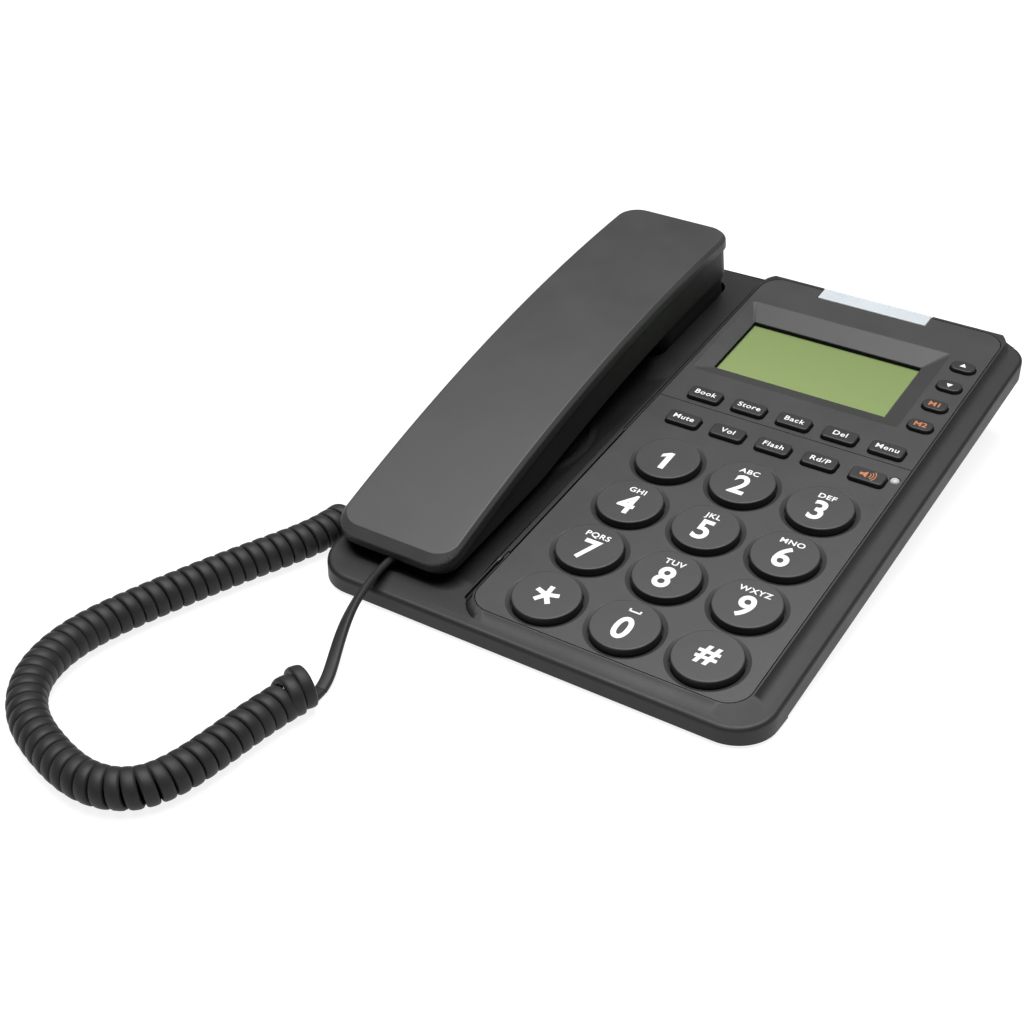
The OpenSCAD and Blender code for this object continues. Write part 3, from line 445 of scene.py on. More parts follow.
def slice_at(bm, places, axis):
    """Cuts the mesh across at each place along an axis."""
    normal = Vector((0, 0, 0))
    normal[axis] = 1
    for at in places:
        bmesh.ops.bisect_plane(bm, geom=bm.verts[:] + bm.edges[:] + bm.faces[:], dist=1e-4,
                               plane_co=normal * at, plane_no=normal)


def turned(profile, steps):
    """A closed solid of revolution from (radius, height) points that start and end on the axis."""
    bm = bmesh.new()
    points = [bm.verts.new((r, 0, z)) for r, z in profile]
    edges = [bm.edges.new(pair) for pair in zip(points, points[1:])]
    bmesh.ops.spin(bm, geom=points + edges, cent=(0, 0, 0), axis=(0, 0, 1), angle=math.tau,
                   steps=steps, use_merge=True)
    bmesh.ops.remove_doubles(bm, verts=bm.verts, dist=1e-4)
    bmesh.ops.recalc_face_normals(bm, faces=bm.faces)
    return bm


def quarter(radius, cx, cz):
    """Points of a rounded outer edge, from the top round to the side."""
    steps = 5
    return [(cx + radius * math.sin(a), cz + radius * math.cos(a))
            for a in (math.pi / 2 * i / steps for i in range(steps + 1))]


def round_hole(radius, height, at):
    bm = bmesh.new()
    bmesh.ops.create_cone(bm, cap_ends=True, segments=24, radius1=radius, radius2=radius,
                          depth=height)
    return move(bm, *at)


def solid_copy(node):
    """The node's own mesh in deck millimetres, joined up and with its flat faces whole."""
    bm = bmesh.new()
    bm.from_mesh(frame["nodes"][node].data)
    for face in bm.faces:
        face.material_index = 0
    bmesh.ops.remove_doubles(bm, verts=bm.verts, dist=1e-7)
    bmesh.ops.transform(bm, matrix=DECK.inverted(), verts=bm.verts)
    bmesh.ops.dissolve_limit(bm, angle_limit=math.radians(0.4), verts=bm.verts, edges=bm.edges)
    bm.normal_update()
    return bm


def crease(edge):
    return len(edge.link_faces) == 2 and edge.calc_face_angle(0) > math.radians(28)


def flat_mesh(obj):
    """The evaluated mesh of a helper object, which is then removed."""
    bpy.context.view_layer.update()
    depsgraph = bpy.context.evaluated_depsgraph_get()
    mesh = bpy.data.meshes.new_from_object(obj.evaluated_get(depsgraph))
    bm = bmesh.new()
    bm.from_mesh(mesh)
    bpy.data.meshes.remove(mesh)
    data = obj.data
    bpy.data.objects.remove(obj)
    if isinstance(data, bpy.types.Mesh):
        bpy.data.meshes.remove(data)
    else:
        bpy.data.curves.remove(data)
    return bm


def carve(bm, others, operation):
    """Joins to or cuts from a bmesh each of the others in turn."""
    for other in others:
        body = put_in_scene("carved", mesh_of(bm, "carved"))
        tool = put_in_scene("carver", mesh_of(other, "carver"))
        cut = body.modifiers.new("carve", "BOOLEAN")
        cut.object = tool
        cut.operation = operation
        cut.solver = "EXACT"
        bm = flat_mesh(body)
        data = tool.data
        bpy.data.objects.remove(tool)
        bpy.data.meshes.remove(data)
    return bm


# The curly cord, drawn along the same route as the solid it stands for, in millimetres
COIL_POINTS = [(-87.5, -76), (-88.5, -94), (-95.5, -111), (-102.5, -128), (-108.5, -145),
               (-114.5, -163), (-118.5, -181), (-115.5, -200), (-103.5, -214), (-86.5, -221),
               (-67.5, -226), (-51.5, -219), (-47.5, -198), (-46.5, -180), (-43.5, -165),
               (-42.5, -154)]
COIL_STEPS, LEAD_STEPS = 60, 8
COIL_D, CORD_W, CORD_T, CURL_GAP = 12.3, 4.2, 2.4, 0.35
COIL_R = (COIL_D - CORD_T) / 2
COIL_Z = COIL_D / 2 + 0.05
LEAD_Z = COIL_Z - COIL_R
# The first curl opens slowly, and the cord runs straight at the end
EASE_LEN, TAIL_LEN = 3, 5
CURL_RINGS, LEAD_RINGS = 26, 20
# The curls are packed closer in a bend, judged by the sharpest turn close by
BEND_LOOK, BEND_PACK, MOST_PACKED = range(-12, 13, 6), 2.2, 0.16
# A slight turn for each millimetre, so that the straight ends get rings too
DRIFT = 0.01 * math.tau / 360
# The last curl opens wider and swings aside
LAST_CURL, LAST_SWING, LAST_TURNS = 0.2, math.radians(-22), 0.7
CORD_SIDES, FLAT_W, FLAT_T = 14, 0.62, 0.72
LEAD_BASE_POINTS = [(-87.5, -75.5, LEAD_Z), (-87.5, -64, LEAD_Z), (-88.5, -45, LEAD_Z),
                    (-89.5, -22, 1.6), (-89.5, -8, 3.6), (-86, 0.8, 5.4), (-81, 3, 6),
                    (-77.1, 3, 6)]
LEAD_HANDSET_POINTS = [(-42.5, -153.5, LEAD_Z), (-43, -149, 2.4), (-46.8, -140, 5.6),
                       (-51, -129, 9.2), (-53.8, -117, 11.2), (-56.2, -105, 10.8),
                       (-57.4, -97, 9.9), (-57.4, -90.9, 10.5)]
LEAD_TWIST, TWIST_LATE = -55, 1.8


def smooth_route(points, steps):
    """Uniform cubic B-spline with mirrored end points."""
    p = [Vector(q).to_3d() for q in points]
    p = [2 * p[0] - p[1]] + p + [2 * p[-1] - p[-2]]
    route = []
    for k in range(len(points) - 1):
        for i in range(steps):
            t = i / steps
            route.append(((1 - t) ** 3 * p[k] + (3 * t ** 3 - 6 * t * t + 4) * p[k + 1]
                          + (-3 * t ** 3 + 3 * t * t + 3 * t + 1) * p[k + 2]
                          + t ** 3 * p[k + 3]) / 6)
    route.append(Vector(points[-1]).to_3d())
    return route


def heading(path, i):
    return (path[min(i + 1, len(path) - 1)] - path[max(i - 1, 0)]).normalized()


def turn_rate(path, i):
    """How sharply the route turns at a point, for each millimetre."""
    j = min(max(i, 1), len(path) - 2)
    a, b = path[j] - path[j - 1], path[j + 1] - path[j]
    return abs(a.x * b.y - a.y * b.x) / (a.length * b.length * (a.length + b.length) / 2)


def curl_turns(line, run):
    """The angle that the cord has wound through at each point of the coil's middle line."""
    turn = [0.0]
    for i in range(len(line) - 1):
        bend = max(turn_rate(line, i + k) for k in BEND_LOOK)
        pitch = (CORD_W + CURL_GAP) * (1 - min(bend * BEND_PACK, MOST_PACKED))
        ease = min(1, max(0, run[i] - CORD_W) / EASE_LEN, max(0, run[-1] - TAIL_LEN - run[i]))
        turn.append(turn[-1] + math.tau * ease * (run[i + 1] - run[i]) / pitch)
    return turn


def curl_route():
    """Points and outward directions of the curls, which make a whole number of turns."""
    line = smooth_route(COIL_POINTS, COIL_STEPS)
    count = len(line)
    run = [0.0]
    for a, b in zip(line, line[1:]):
        run.append(run[-1] + (b - a).length)
    turn = curl_turns(line, run)
    turns = round(turn[-1] / math.tau)
    fit = turns * math.tau / turn[-1]
    table = [turn[i] * fit + run[i] * DRIFT for i in range(count)]
    rings = turns * CURL_RINGS + LEAD_RINGS
    path, out = [], []
    k = 0
    for ring in range(rings + 1):
        want = table[-1] * ring / rings
        while k < count - 2 and table[k + 1] < want:
            k += 1
        share = min(1, max(0, (want - table[k]) / max(table[k + 1] - table[k], 1e-9)))
        centre = line[k].lerp(line[k + 1], share)
        ahead = heading(line, k).lerp(heading(line, k + 1), share).normalized()
        angle = (turn[k] + (turn[k + 1] - turn[k]) * share) * fit
        left = turns - angle / math.tau
        last = min(1, max(0, 2 - left) / LAST_TURNS)
        ahead = Matrix.Rotation(LAST_SWING * last, 3, "Z") @ ahead
        radial = Vector((-ahead.y, ahead.x, 0)) * math.sin(angle) - UP * math.cos(angle)
        reach = COIL_R * (1 + LAST_CURL * last)
        path.append(Vector((centre.x, centre.y, LEAD_Z + reach)) + radial * reach)
        out.append(radial)
    return path, out


def lead_route(points, twist):
    """Points and upper sides of a straight lead, which may turn on edge along its way."""
    path = smooth_route(points, LEAD_STEPS)
    out = []
    for i in range(len(path)):
        a = math.radians(twist) * math.sin(math.pi * (i / (len(path) - 1)) ** TWIST_LATE)
        out.append(UP * math.cos(a) + heading(path, i).cross(UP).normalized() * math.sin(a))
    return path, out


def drawn_cord(path, out):
    """A flat sheathed cord drawn ring by ring along its route."""
    frames = []
    for i, at in enumerate(path):
        ahead = heading(path, i)
        across = ahead.cross(out[i]).normalized()
        turn = Matrix((across, across.cross(ahead), ahead)).transposed().to_4x4()
        frames.append(Matrix.Translation(at) @ turn)
    bm = bmesh.new()
    bmesh.ops.create_circle(bm, cap_ends=True, segments=CORD_SIDES, radius=1)
    for v in bm.verts:
        x, y = v.co.x, v.co.y
        v.co.x = math.copysign(abs(x) ** FLAT_W, x) * CORD_W / 2
        v.co.y = math.copysign(abs(y) ** FLAT_T, y) * CORD_T / 2
    loop = bm.edges[:]
    bmesh.ops.transform(bm, matrix=frames[0], verts=bm.verts)
    for before, after in zip(frames, frames[1:]):
        grown = bmesh.ops.extrude_edge_only(bm, edges=loop)["geom"]
        ring = {g for g in grown if isinstance(g, bmesh.types.BMVert)}
        loop = [g for g in grown if isinstance(g, bmesh.types.BMEdge) and set(g.verts) <= ring]
        bmesh.ops.transform(bm, matrix=after @ before.inverted(), verts=list(ring))
    bmesh.ops.contextual_create(bm, geom=loop)
    bmesh.ops.recalc_face_normals(bm, faces=bm.faces)
    return bm


def route_length(path):
    return sum((b - a).length for a, b in zip(path, path[1:])) / 1000


def metres(points):
    return [tuple(p / 1000) for p in points]


def make_cord():
    curls, curls_out = curl_route()
    lead, lead_out = lead_route(LEAD_BASE_POINTS, 0)
    path = lead[::-1] + curls
    out = [-n for n in lead_out[::-1]] + curls_out
    coil = make("curly_cord", drawn_cord(path, out), MM, "cord", "base",
                ["curly_cord_coil", "cord_lead_base"], weighted=False)
    metres([path[0]])[0]
    route_length(path)
    metres(path)
    path, out = lead_route(LEAD_HANDSET_POINTS, LEAD_TWIST)
    tail = make("handset_lead", drawn_cord(path, out), MM, "cord", None, ["cord_lead_handset"],
                weighted=False)
    metres([path[0]])[0]
    metres([path[-1]])[0]
    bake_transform(tail)
    metres([path[0]])[0]
    route_length(path)
    metres(path)


# The handset: an arched cap, with a flat chamfer that is wider at the mouthpiece end
HANDSET_LEN, HANDSET_W, HANDSET_R = 199, 46.2, 9
ARCH, LIP, GRIP, SEAM = 7.2, 5, 19, 0.15
ARCH_R = ((HANDSET_LEN / 2) ** 2 + ARCH ** 2) / (2 * ARCH)
STRIP = 5
CHAMFER, NEAR_IN, NEAR_DOWN = 1.3, 2.0, 0.6
# Its lower shell, with places along the deck (V) and above it (N)
UNDER_THICK, UNDER_ROUND, UNDER_INSET = 14, 2.2, 1
HANDSET_X, REST_N, CUP_ROUND = HANDSET_AT[0], -2.2, 1.2
EAR_W, EAR_L, EAR_H, EAR_R, EAR_V, EAR_N = 39.8, 50.2, 26, 5.3, 186.1, -10.2
EAR_FRONT_V, EAR_BACK_V, EAR_SLOPE = 170, 200, 0.375
MOUTH_W, MOUTH_L, MOUTH_H, MOUTH_R, MOUTH_V, MOUTH_N = 34.6, 42, 3.9, 6, 41, -4.9
MOUTH_BACK_SLOPE, MOUTH_FRONT_SLOPE = 0.59, -0.47
NOTCH_W, NOTCH_L, NOTCH_H, NOTCH_R, NOTCH_V, NOTCH_N = 9.7, 27, 7, 0.4, 18.6, 2.2
SOUND_R, SOUND_DEEP, SOUND_RING, EAR_SOUND_V, MOUTH_SOUND_V = 1.2, 3, 5.8, 185.25, 48
SCREW_R, SCREW_DEEP, SCREW_Z, SCREWS_AT = 3, 8, -13.25, (-36, 20)


def arch(s):
    """Height of the handset's top at a place along it."""
    return math.sqrt(ARCH_R ** 2 - s * s) - ARCH_R + ARCH


def strips(bm):
    """Cuts a long block across at its own corner points and at even steps."""
    ends = max(v.co.y for v in bm.verts)
    places = {round(v.co.y, 2) for v in bm.verts}
    places |= {round(-ends + STRIP * i, 2) for i in range(1, int(2 * ends / STRIP) + 1)}
    slice_at(bm, [p for p in sorted(places) if abs(p) < ends - 0.05], 1)


def make_handset_cap():
    bm = block(HANDSET_W, HANDSET_LEN, LIP, HANDSET_R, top=CHAMFER, foot=0.35, corner_cuts=10,
               cuts=1)
    bm.normal_update()
    edges = [e for e in bm.edges if crease(e) and all(v.co.z > -2 * CHAMFER for v in e.verts)]
    corner_x, corner_y = HANDSET_W / 2 - HANDSET_R, HANDSET_LEN / 2 - HANDSET_R
    for v in bm.verts:
        near = min(1, max(0, -corner_y - v.co.y) / (HANDSET_R - CHAMFER))
        if v.co.z > -0.01 and near:
            middle = Vector((min(max(v.co.x, -corner_x), corner_x), -corner_y, 0))
            v.co += (middle - v.co).normalized() * NEAR_IN * near
        elif abs(v.co.z + CHAMFER) < 0.01:
            v.co.z -= NEAR_DOWN * near
    round_edges(bm, edges, 0.3, 2)
    strips(bm)
    for v in bm.verts:
        v.co.z += arch(v.co.y)
    make("handset_cap", bm, HANDSET, "handset_top", "handset", ["handset_upper_shell"], sharp=50)


def under_grip():
    """The lower shell without its cups: as deep as the grip, but no lower than its rest."""
    bm = block(HANDSET_W - 2 * UNDER_INSET, HANDSET_LEN - 2 * UNDER_INSET, UNDER_THICK,
               HANDSET_R - UNDER_INSET, foot=UNDER_ROUND, corner_cuts=10, cuts=6)
    strips(bm)
    lean = math.radians(HANDSET_LEAN)
    knee = 1 - UNDER_ROUND / UNDER_THICK
    for v in bm.verts:
        s = v.co.y
        top = arch(s) - LIP - SEAM
        rest = (REST_N - HANDSET_AT[2] - s * math.sin(lean)) / math.cos(lean)
        deep = top - max(arch(s) - GRIP, rest)
        soft = min(UNDER_ROUND, 0.85 * deep)
        share = -v.co.z / UNDER_THICK
        if share < knee:
            v.co.z = top - share / knee * (deep - soft)
        else:
            v.co.z = top - (deep - soft) - (share - knee) / (1 - knee) * soft
    bmesh.ops.transform(bm, matrix=HANDSET_TO_DECK, verts=bm.verts)
    return bm


def ear_cup():
    """The earpiece's cup, upright in its well and leaning with the handset at the back."""
    bm = block(EAR_W, EAR_L, EAR_H, EAR_R, foot=CUP_ROUND, corner_cuts=6)
    slice_at(bm, [-EAR_H - EAR_N], 2)
    move(bm, HANDSET_X, EAR_V, EAR_N + EAR_H)
    for v in bm.verts:
        if v.co.y > EAR_BACK_V:
            v.co.y -= math.tan(math.radians(HANDSET_LEAN)) * (v.co.z - EAR_N)
        elif v.co.y < EAR_FRONT_V and v.co.z > 0:
            v.co.y -= EAR_SLOPE * v.co.z
    return bm


def mouth_cup():
    bm = block(MOUTH_W, MOUTH_L, MOUTH_H, MOUTH_R, foot=CUP_ROUND, corner_cuts=6)
    move(bm, HANDSET_X, MOUTH_V, MOUTH_N + MOUTH_H)
    for v in bm.verts:
        slope = MOUTH_BACK_SLOPE if v.co.y > MOUTH_V else MOUTH_FRONT_SLOPE
        v.co.y += slope * (v.co.z - MOUTH_N)
    return bm


def under_holes():
    """The notch for the cord's plug, the holes for sound and the wells for the screws."""
    notch = block(NOTCH_W, NOTCH_L, NOTCH_H, NOTCH_R)
    holes = [move(notch, HANDSET_X, NOTCH_V, NOTCH_N)]
    for i in range(7):
        a = math.tau * i / 6
        r = SOUND_RING if i < 6 else 0
        at = (HANDSET_X + r * math.cos(a), EAR_SOUND_V + r * math.sin(a), EAR_N)
        holes.append(round_hole(SOUND_R, SOUND_DEEP, at))
    holes.append(round_hole(SOUND_R, SOUND_DEEP, (HANDSET_X, MOUTH_SOUND_V, MOUTH_N)))
    for s in SCREWS_AT:
        well = round_hole(SCREW_R, SCREW_DEEP, (0, s, SCREW_Z))
        bmesh.ops.transform(well, matrix=HANDSET_TO_DECK, verts=well.verts)
        holes.append(well)
    return holes


def make_handset_under():
    bm = carve(under_grip(), [ear_cup(), mouth_cup()], "UNION")
    bm = carve(bm, under_holes(), "DIFFERENCE")
    bmesh.ops.remove_doubles(bm, verts=bm.verts, dist=1e-4)
    make("handset_under", bm, DECK, "handset_under", "handset", ["handset_lower_shell"], sharp=45)


# The base
LEDGE_N, LEDGE_ROUND = -2.7, 1.5
DECK_MIDDLE = Vector((0, 110))
EAR_WELL_X, EAR_WELL_V = (-79.5, -32), (150, 216)
BEZEL_AT, BEZEL_REACH, BEZEL_ROUND = Vector((17.55, 174.75, 0)), 45, 0.25


def looks_out(face):
    """True of an upright face that looks away from the middle of the base."""
    away = face.calc_center_median().xy - DECK_MIDDLE
    return abs(face.normal.z) < 0.2 and face.normal.xy.dot(away) > 0


def ledge_edges(bm):
    """The outer edges of the ledge round the base, without those of the ear well."""
    chosen = []
    for edge in bm.edges:
        x, v, _ = edge.verts[0].co
        in_well = EAR_WELL_X[0] < x < EAR_WELL_X[1] and EAR_WELL_V[0] < v < EAR_WELL_V[1]
        level = all(abs(end.co.z - LEDGE_N) < 0.02 for end in edge.verts)
        if level and not in_well and crease(edge) and any(map(looks_out, edge.link_faces)):
            chosen.append(edge)
    return chosen


def bezel_rims(bm):
    """The edges where the slopes round the display meet the top of the fascia."""
    slopes = {f for f in bm.faces if 0.5 < f.normal.z < 0.995
              and (f.calc_center_median() - BEZEL_AT).length < BEZEL_REACH}
    return [e for e in bm.edges if not slopes.isdisjoint(e.link_faces)
            and e.calc_face_angle(0) > 0.1 and max(v.co.z for v in e.verts) > -0.05]


def make_base():
    bm = solid_copy("base_upper_shell")
    round_edges(bm, ledge_edges(bm), LEDGE_ROUND, 4)
    bm.normal_update()
    make("base_top", bm, DECK, "base_shell", "base", ["base_upper_shell"], sharp=27)
    for node, piece, slot in (("base_lower_shell", "base_tray", "lower_shell"),
                              ("keypad_fascia", "keypad_plate", "fascia"),
                              ("display_fascia", "display_plate", "fascia")):
        bm = solid_copy(node)
        if piece == "display_plate":
            round_edges(bm, bezel_rims(bm), BEZEL_ROUND, 2)
        make(piece, bm, DECK, slot, "base", [node], sharp=9)


# Printed legends, on the tops of the keys and buttons
INK = 0.05
# Material numbers of the printing and of the painted shade on the key walls
INK_INDEX, WALL_SHADE_INDEX = 1, 2


def set_type(words, size, weight=0.0, spacing=1.0):
    """Words in the built-in lettering, lying flat and centred, a little proud of the surface."""
    data = bpy.data.curves.new("letters", "FONT")
    data.body = words
    data.size = size
    data.align_x = "CENTER"
    data.offset = weight
    data.space_character = spacing
    data.extrude = INK / 2
    data.resolution_u = 5
    return flat_mesh(put_in_scene("letters", data))


def measure_capital():
    """Height of a capital letter in lettering of size one."""
    bm = set_type("H", 1.0)
    tall = max(v.co.y for v in bm.verts) - min(v.co.y for v in bm.verts)
    bm.free()
    return tall


def letters(words, height, weight, stretch, spacing=1.0):
    """Printed words of a capital height, centred both ways."""
    bm = set_type(words, height / CAPITAL, weight, spacing)
    bmesh.ops.scale(bm, vec=(stretch, 1, 1), verts=bm.verts)
    return move(bm, 0, -height / 2, 0)


def print_on(bm, mark, at):
    return join(bm, move(mark, *at), INK_INDEX)


def ink_bar(width, depth, x, y):
    """A printed bar, with its corners just rounded."""
    return move(block(width, depth, INK, 0.1), x, y, INK / 2)


def bracket_mark():
    """The small open bracket over the nought."""
    bm = ink_bar(4.2, 0.6, 0, 0)
    for x in (-1.8, 1.8):
        join(bm, ink_bar(0.6, 1.3, x, 0.4))
    return bm


def cut_out(outline):
    """A printed mark of this outline, drawn round to the left."""
    bm = bmesh.new()
    face = bm.faces.new([bm.verts.new((x, y, INK / 2)) for x, y in outline])
    grown = bmesh.ops.extrude_face_region(bm, geom=[face])["geom"]
    low = [g for g in grown if isinstance(g, bmesh.types.BMVert)]
    bmesh.ops.translate(bm, vec=(0, 0, -INK), verts=low)
    bmesh.ops.recalc_face_normals(bm, faces=bm.faces)
    return bm


def digit_one(height):
    """The figure one: an upright with a flag, which the plain lettering lacks."""
    bm = cut_out([(0.14, -0.5), (0.14, 0.5), (-0.02, 0.5), (-0.27, 0.31), (-0.27, 0.12),
                  (-0.08, 0.24), (-0.08, -0.5)])
    bmesh.ops.scale(bm, vec=(height, height, 1), verts=bm.verts)
    return bm


def star_mark(reach, half):
    """The five straight arms of the star."""
    outline = []
    for i in range(5):
        a = math.radians(90 + 72 * i)
        ahead = Vector((math.cos(a), math.sin(a)))
        across = Vector((-math.sin(a), math.cos(a)))
        notch = half / math.sin(math.radians(36))
        outline += [ahead * reach - across * half, ahead * reach + across * half,
                    Matrix.Rotation(math.radians(36), 2) @ ahead * notch]
    return cut_out(outline)


def speaker_mark():
    """Loudspeaker sign: a small horn and three arcs of sound."""
    bm = ink_bar(1.1, 1.3, -1.6, 0)
    horn = ink_bar(1.3, 1.3, 0, 0)
    for v in horn.verts:
        if v.co.x > 0:
            v.co.y *= 2.4
    join(bm, move(horn, -0.3, 0, 0))
    stand = Matrix.Rotation(math.pi / 2, 3, "X")
    start = Matrix.Rotation(-0.75, 3, "Z")
    for radius in (1.6, 2.5, 3.4):
        arc = bmesh.new()
        bmesh.ops.create_grid(arc, x_segments=1, y_segments=1, size=0.5)
        bmesh.ops.scale(arc, vec=(0.32, INK, 1), verts=arc.verts)
        bmesh.ops.rotate(arc, cent=(0, 0, 0), matrix=stand, verts=arc.verts)
        move(arc, radius, 0, 0)
        bmesh.ops.rotate(arc, cent=(0, 0, 0), matrix=start, verts=arc.verts)
        bmesh.ops.spin(arc, geom=arc.verts[:] + arc.edges[:] + arc.faces[:], cent=(0, 0, 0),
                       axis=(0, 0, 1), angle=1.5, steps=8)
        bmesh.ops.remove_doubles(arc, verts=arc.verts, dist=1e-5)
        bmesh.ops.recalc_face_normals(arc, faces=arc.faces)
        join(bm, arc)
    return bm


def arrow_mark(turn):
    """A small triangle that points to the back, turned about its middle."""
    bm = bmesh.new()
    bmesh.ops.create_cone(bm, cap_ends=True, segments=3, radius1=1.35, radius2=1.35, depth=INK)
    bmesh.ops.rotate(bm, cent=(0, 0, 0), matrix=Matrix.Rotation(turn, 3, "Z"), verts=bm.verts)
    return bm


# Keys and buttons
FLANGE_TOP, FLANGE_LOW = -2.35, -3.3
KEYS_X, KEYS_V, KEY_PITCH_X, KEY_PITCH_V = 26, 59, 28, 26.1
KEY_R, KEY_EDGE, KEY_RISE, KEY_FLANGE = 11.2, 0.6, 2.1, 1.25
KEYS = [("1", ""), ("2", "ABC"), ("3", "DEF"), ("4", "GHI"), ("5", "JKL"), ("6", "MNO"),
        ("7", "PQRS"), ("8", "TUV"), ("9", "WXYZ"), ("*", ""), ("0", ""), ("#", "")]
SIGN_NAMES = {"*": "star", "#": "hash"}
DIGIT, DIGIT_V = 9.2, -1.7
HASH, HASH_V = 0.8 * DIGIT, 0.8
STAR_REACH, STAR_HALF, STAR_V = 4.2, 0.85, -0.2
SMALL, SMALL_V, BRACKET_V = 2.2, 5.7, 6.0


def make_cap(node, bm, place, slot, ink):
    """Finishes a key or button. Its upright walls take a near black finish, as painted shade."""
    bm.normal_update()
    # Painted shade: upright faces take the dark wall finish
    for face in bm.faces:
        if abs(face.normal.z) < 0.5 and face.material_index == 0:
            face.material_index = WALL_SHADE_INDEX
    make(node + "_cap", bm, place, slot, node, [node], [ink, WALL_SHADE])


def print_key(bm, digit, small):
    """Prints the figure or sign of a number key, and what is over it."""
    if digit == "1":
        mark, v = digit_one(DIGIT), DIGIT_V
    elif digit == "*":
        mark, v = star_mark(STAR_REACH, STAR_HALF), STAR_V
    elif digit == "#":
        mark, v = letters(digit, HASH, 0.3, 1.05), HASH_V
    else:
        mark, v = letters(digit, DIGIT, 0.3, 0.9), DIGIT_V
    print_on(bm, mark, (0, v, KEY_RISE))
    if small:
        print_on(bm, letters(small, SMALL, 0.06, 1.08, 1.1), (0, SMALL_V, KEY_RISE))
    if digit == "0":
        print_on(bm, bracket_mark(), (0, BRACKET_V, KEY_RISE))


def make_number_keys():
    flange = KEY_R + KEY_FLANGE
    top = [(0, KEY_RISE)] + quarter(KEY_EDGE, KEY_R - KEY_EDGE, KEY_RISE - KEY_EDGE)
    profile = top + [(KEY_R, FLANGE_TOP), (flange, FLANGE_TOP), (flange, FLANGE_LOW),
                     (0, FLANGE_LOW)]
    for i, (digit, small) in enumerate(KEYS):
        bm = turned(profile, 72)
        print_key(bm, digit, small)
        place = on_deck(KEYS_X + (i % 3 - 1) * KEY_PITCH_X, KEYS_V + (1.5 - i // 3) * KEY_PITCH_V)
        make_cap("key_" + SIGN_NAMES.get(digit, digit), bm, place, "keys", WHITE_INK)


FN_PITCH = 17.2
FN_W, FN_D, FN_R, FN_RISE, FN_EDGE = 12.3, 6.5, 1.6, 1.6, 0.55
FN_ROWS = [(137.6, [("book", "Book"), ("store", "Store"), ("back", "Back"), ("delete", "Del"),
                    ("menu", "Menu")]),
           (121.3, [("mute", "Mute"), ("volume", "Vol"), ("flash", "Flash"), ("redial", "Rd/P"),
                    ("speaker", "")])]
SIDE_X, SIDE_V, SIDE_PITCH = 64.8, 155.6, 13.1
SIDE_W, SIDE_D, SIDE_R, SIDE_RISE, SIDE_EDGE = 9, 5.7, 2.65, 1.4, 0.5
WORD = 2.3
BUTTON_FLANGE = 0.8


def button_cap(width, depth, corner, rise, edge):
    """A button through the fascia with the flange that holds it from below."""
    bm = block(width, depth, rise - FLANGE_LOW, corner, top=edge, corner_cuts=6, cuts=3)
    move(bm, 0, 0, rise)
    flange = block(width + 2 * BUTTON_FLANGE, depth + 2 * BUTTON_FLANGE, FLANGE_TOP - FLANGE_LOW,
                   corner + BUTTON_FLANGE, corner_cuts=6)
    return join(bm, move(flange, 0, 0, FLANGE_TOP))


def make_function_buttons():
    for v, row in FN_ROWS:
        for i, (name, word) in enumerate(row):
            bm = button_cap(FN_W, FN_D, FN_R, FN_RISE, FN_EDGE)
            if word:
                print_on(bm, letters(word, WORD, 0.04, 1.05, 1.12), (0, 0.25, FN_RISE))
            else:
                print_on(bm, speaker_mark(), (-0.6, 0, FN_RISE))
            place = on_deck(KEYS_X + (i - 2) * FN_PITCH, v)
            make_cap("button_" + name, bm, place, "buttons", WHITE_INK if word else ORANGE_INK)


def make_side_buttons():
    """Two memory buttons and two arrows, from the front to the back."""
    for i, (name, word) in enumerate((("memory_two", "M2"), ("memory_one", "M1"), ("down", ""),
                                      ("up", ""))):
        bm = button_cap(SIDE_W, SIDE_D, SIDE_R, SIDE_RISE, SIDE_EDGE)
        if word:
            mark = letters(word, WORD, 0.06, 1.1)
        else:
            mark = arrow_mark(math.pi if name == "down" else 0)
        print_on(bm, mark, (0, 0, SIDE_RISE))
        place = on_deck(SIDE_X, SIDE_V + SIDE_PITCH * i)
        make_cap("button_" + name, bm, place, "buttons", ORANGE_INK if word else WHITE_INK)


# Lamps
STATUS_AT = (68.7, 124.6)
DOME_R, DOME_ROUND, DOME_TOP, DOME_LOW = 1.75, 1.2, 0.42, -2.2
STEM_R, STEM_LOW = 1.4, -5.3


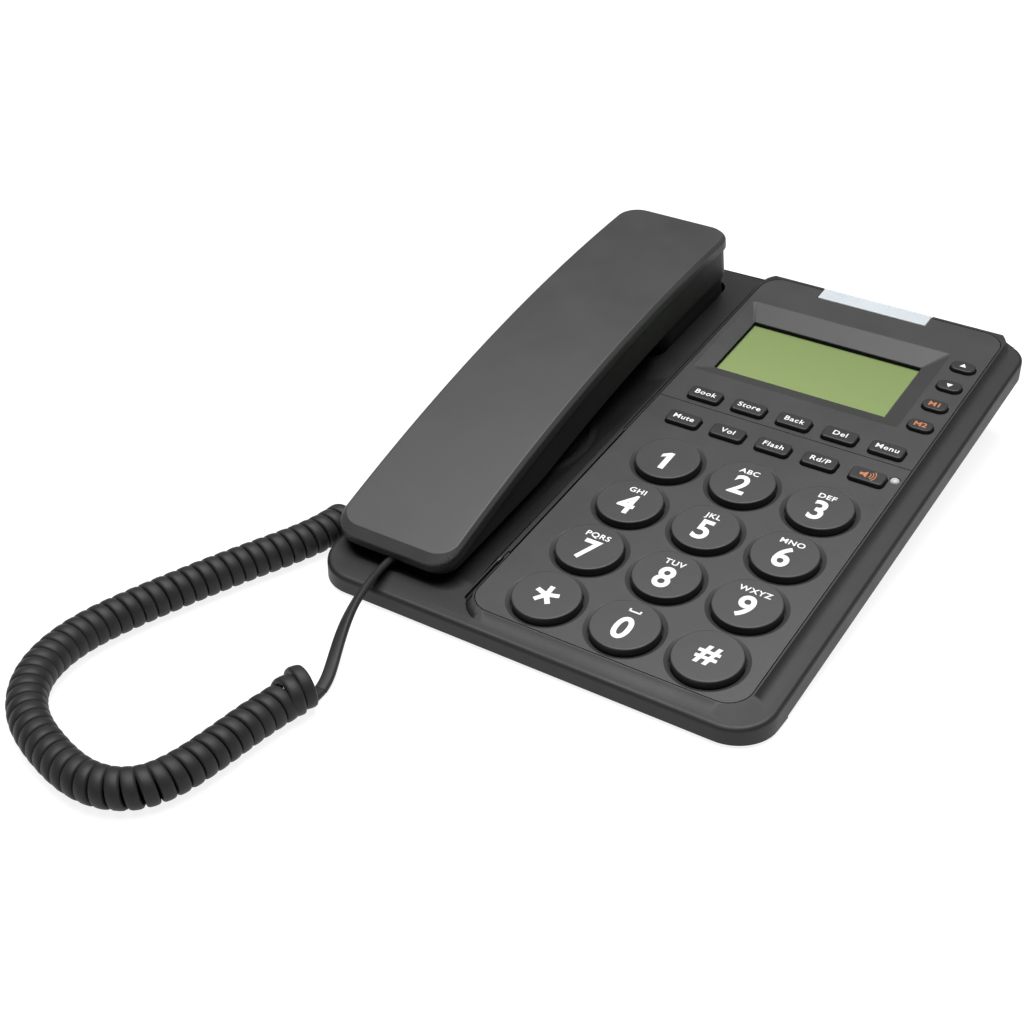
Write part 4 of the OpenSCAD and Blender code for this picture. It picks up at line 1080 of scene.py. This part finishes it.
def make_lamps():
    dome = quarter(DOME_ROUND, DOME_R - DOME_ROUND, DOME_TOP - DOME_ROUND)
    stem = [(DOME_R, DOME_LOW), (STEM_R, DOME_LOW), (STEM_R, STEM_LOW), (0, STEM_LOW)]
    bm = turned([(0, DOME_TOP)] + dome + stem, 40)
    make("status_lamp_dome", bm, on_deck(*STATUS_AT), "status_lens", "base", ["status_lamp"])
    bm = solid_copy("message_lamp_lens")
    round_edges(bm, [e for e in bm.edges if crease(e)], 0.5, 3)
    make("message_lamp_bar", bm, DECK, "lamp_lens", "base", ["message_lamp_lens"])


# Stage: pale floor and soft light, in metres and watts
FLOOR_HALF, FLOOR_Z, FLOOR_GLOW = 6, -0.0002, 0.86
LAMP_AT, LAMP_AIM, LAMP_SIDE, LAMP_POWER = (-0.08, 0.04, 1.45), (-0.02, 0, 0), 1.4, 46
STUDIO_FILL = 0.14


def soft_box(name, at, aim, side, power):
    data = bpy.data.lights.new(name, "AREA")
    data.shape = "RECTANGLE"
    data.size = data.size_y = side
    data.energy = power
    lamp = put_in_scene(name, data)
    lamp.location = at
    lamp.rotation_euler = (Vector(aim) - Vector(at)).to_track_quat("-Z", "Y").to_euler()


def make_stage():
    bm = bmesh.new()
    bmesh.ops.create_grid(bm, x_segments=1, y_segments=1, size=FLOOR_HALF)
    floor = put_in_scene("floor", mesh_of(bm, "floor"))
    floor.location = (0, 0, FLOOR_Z)
    paper = Finish("floor_paper", {
        "Specular IOR Level": 0.0, "Roughness": 0.9, "Emission Color": (1, 1, 1, 1),
        "Emission Strength": FLOOR_GLOW})
    floor.data.materials.append(paper.paint({
        "Base Color": paper.mix(paper.noise(8, 2), grey(0.20), grey(0.22))}))
    world = bpy.data.worlds.new("studio")
    bpy.context.scene.world = world
    world.use_nodes = True
    sky = world.node_tree.nodes["Background"].inputs
    sky["Color"].default_value = (1, 1, 1, 1)
    sky["Strength"].default_value = STUDIO_FILL
    soft_box("overhead", LAMP_AT, LAMP_AIM, LAMP_SIDE, LAMP_POWER)
    bpy.context.scene.view_settings.view_transform = "Standard"


stand_camera()
finish_cad_nodes()
make_cord()
CAPITAL = measure_capital()
make_handset_cap()
make_handset_under()
make_base()
make_number_keys()
make_function_buttons()
make_side_buttons()
make_lamps()
make_stage()
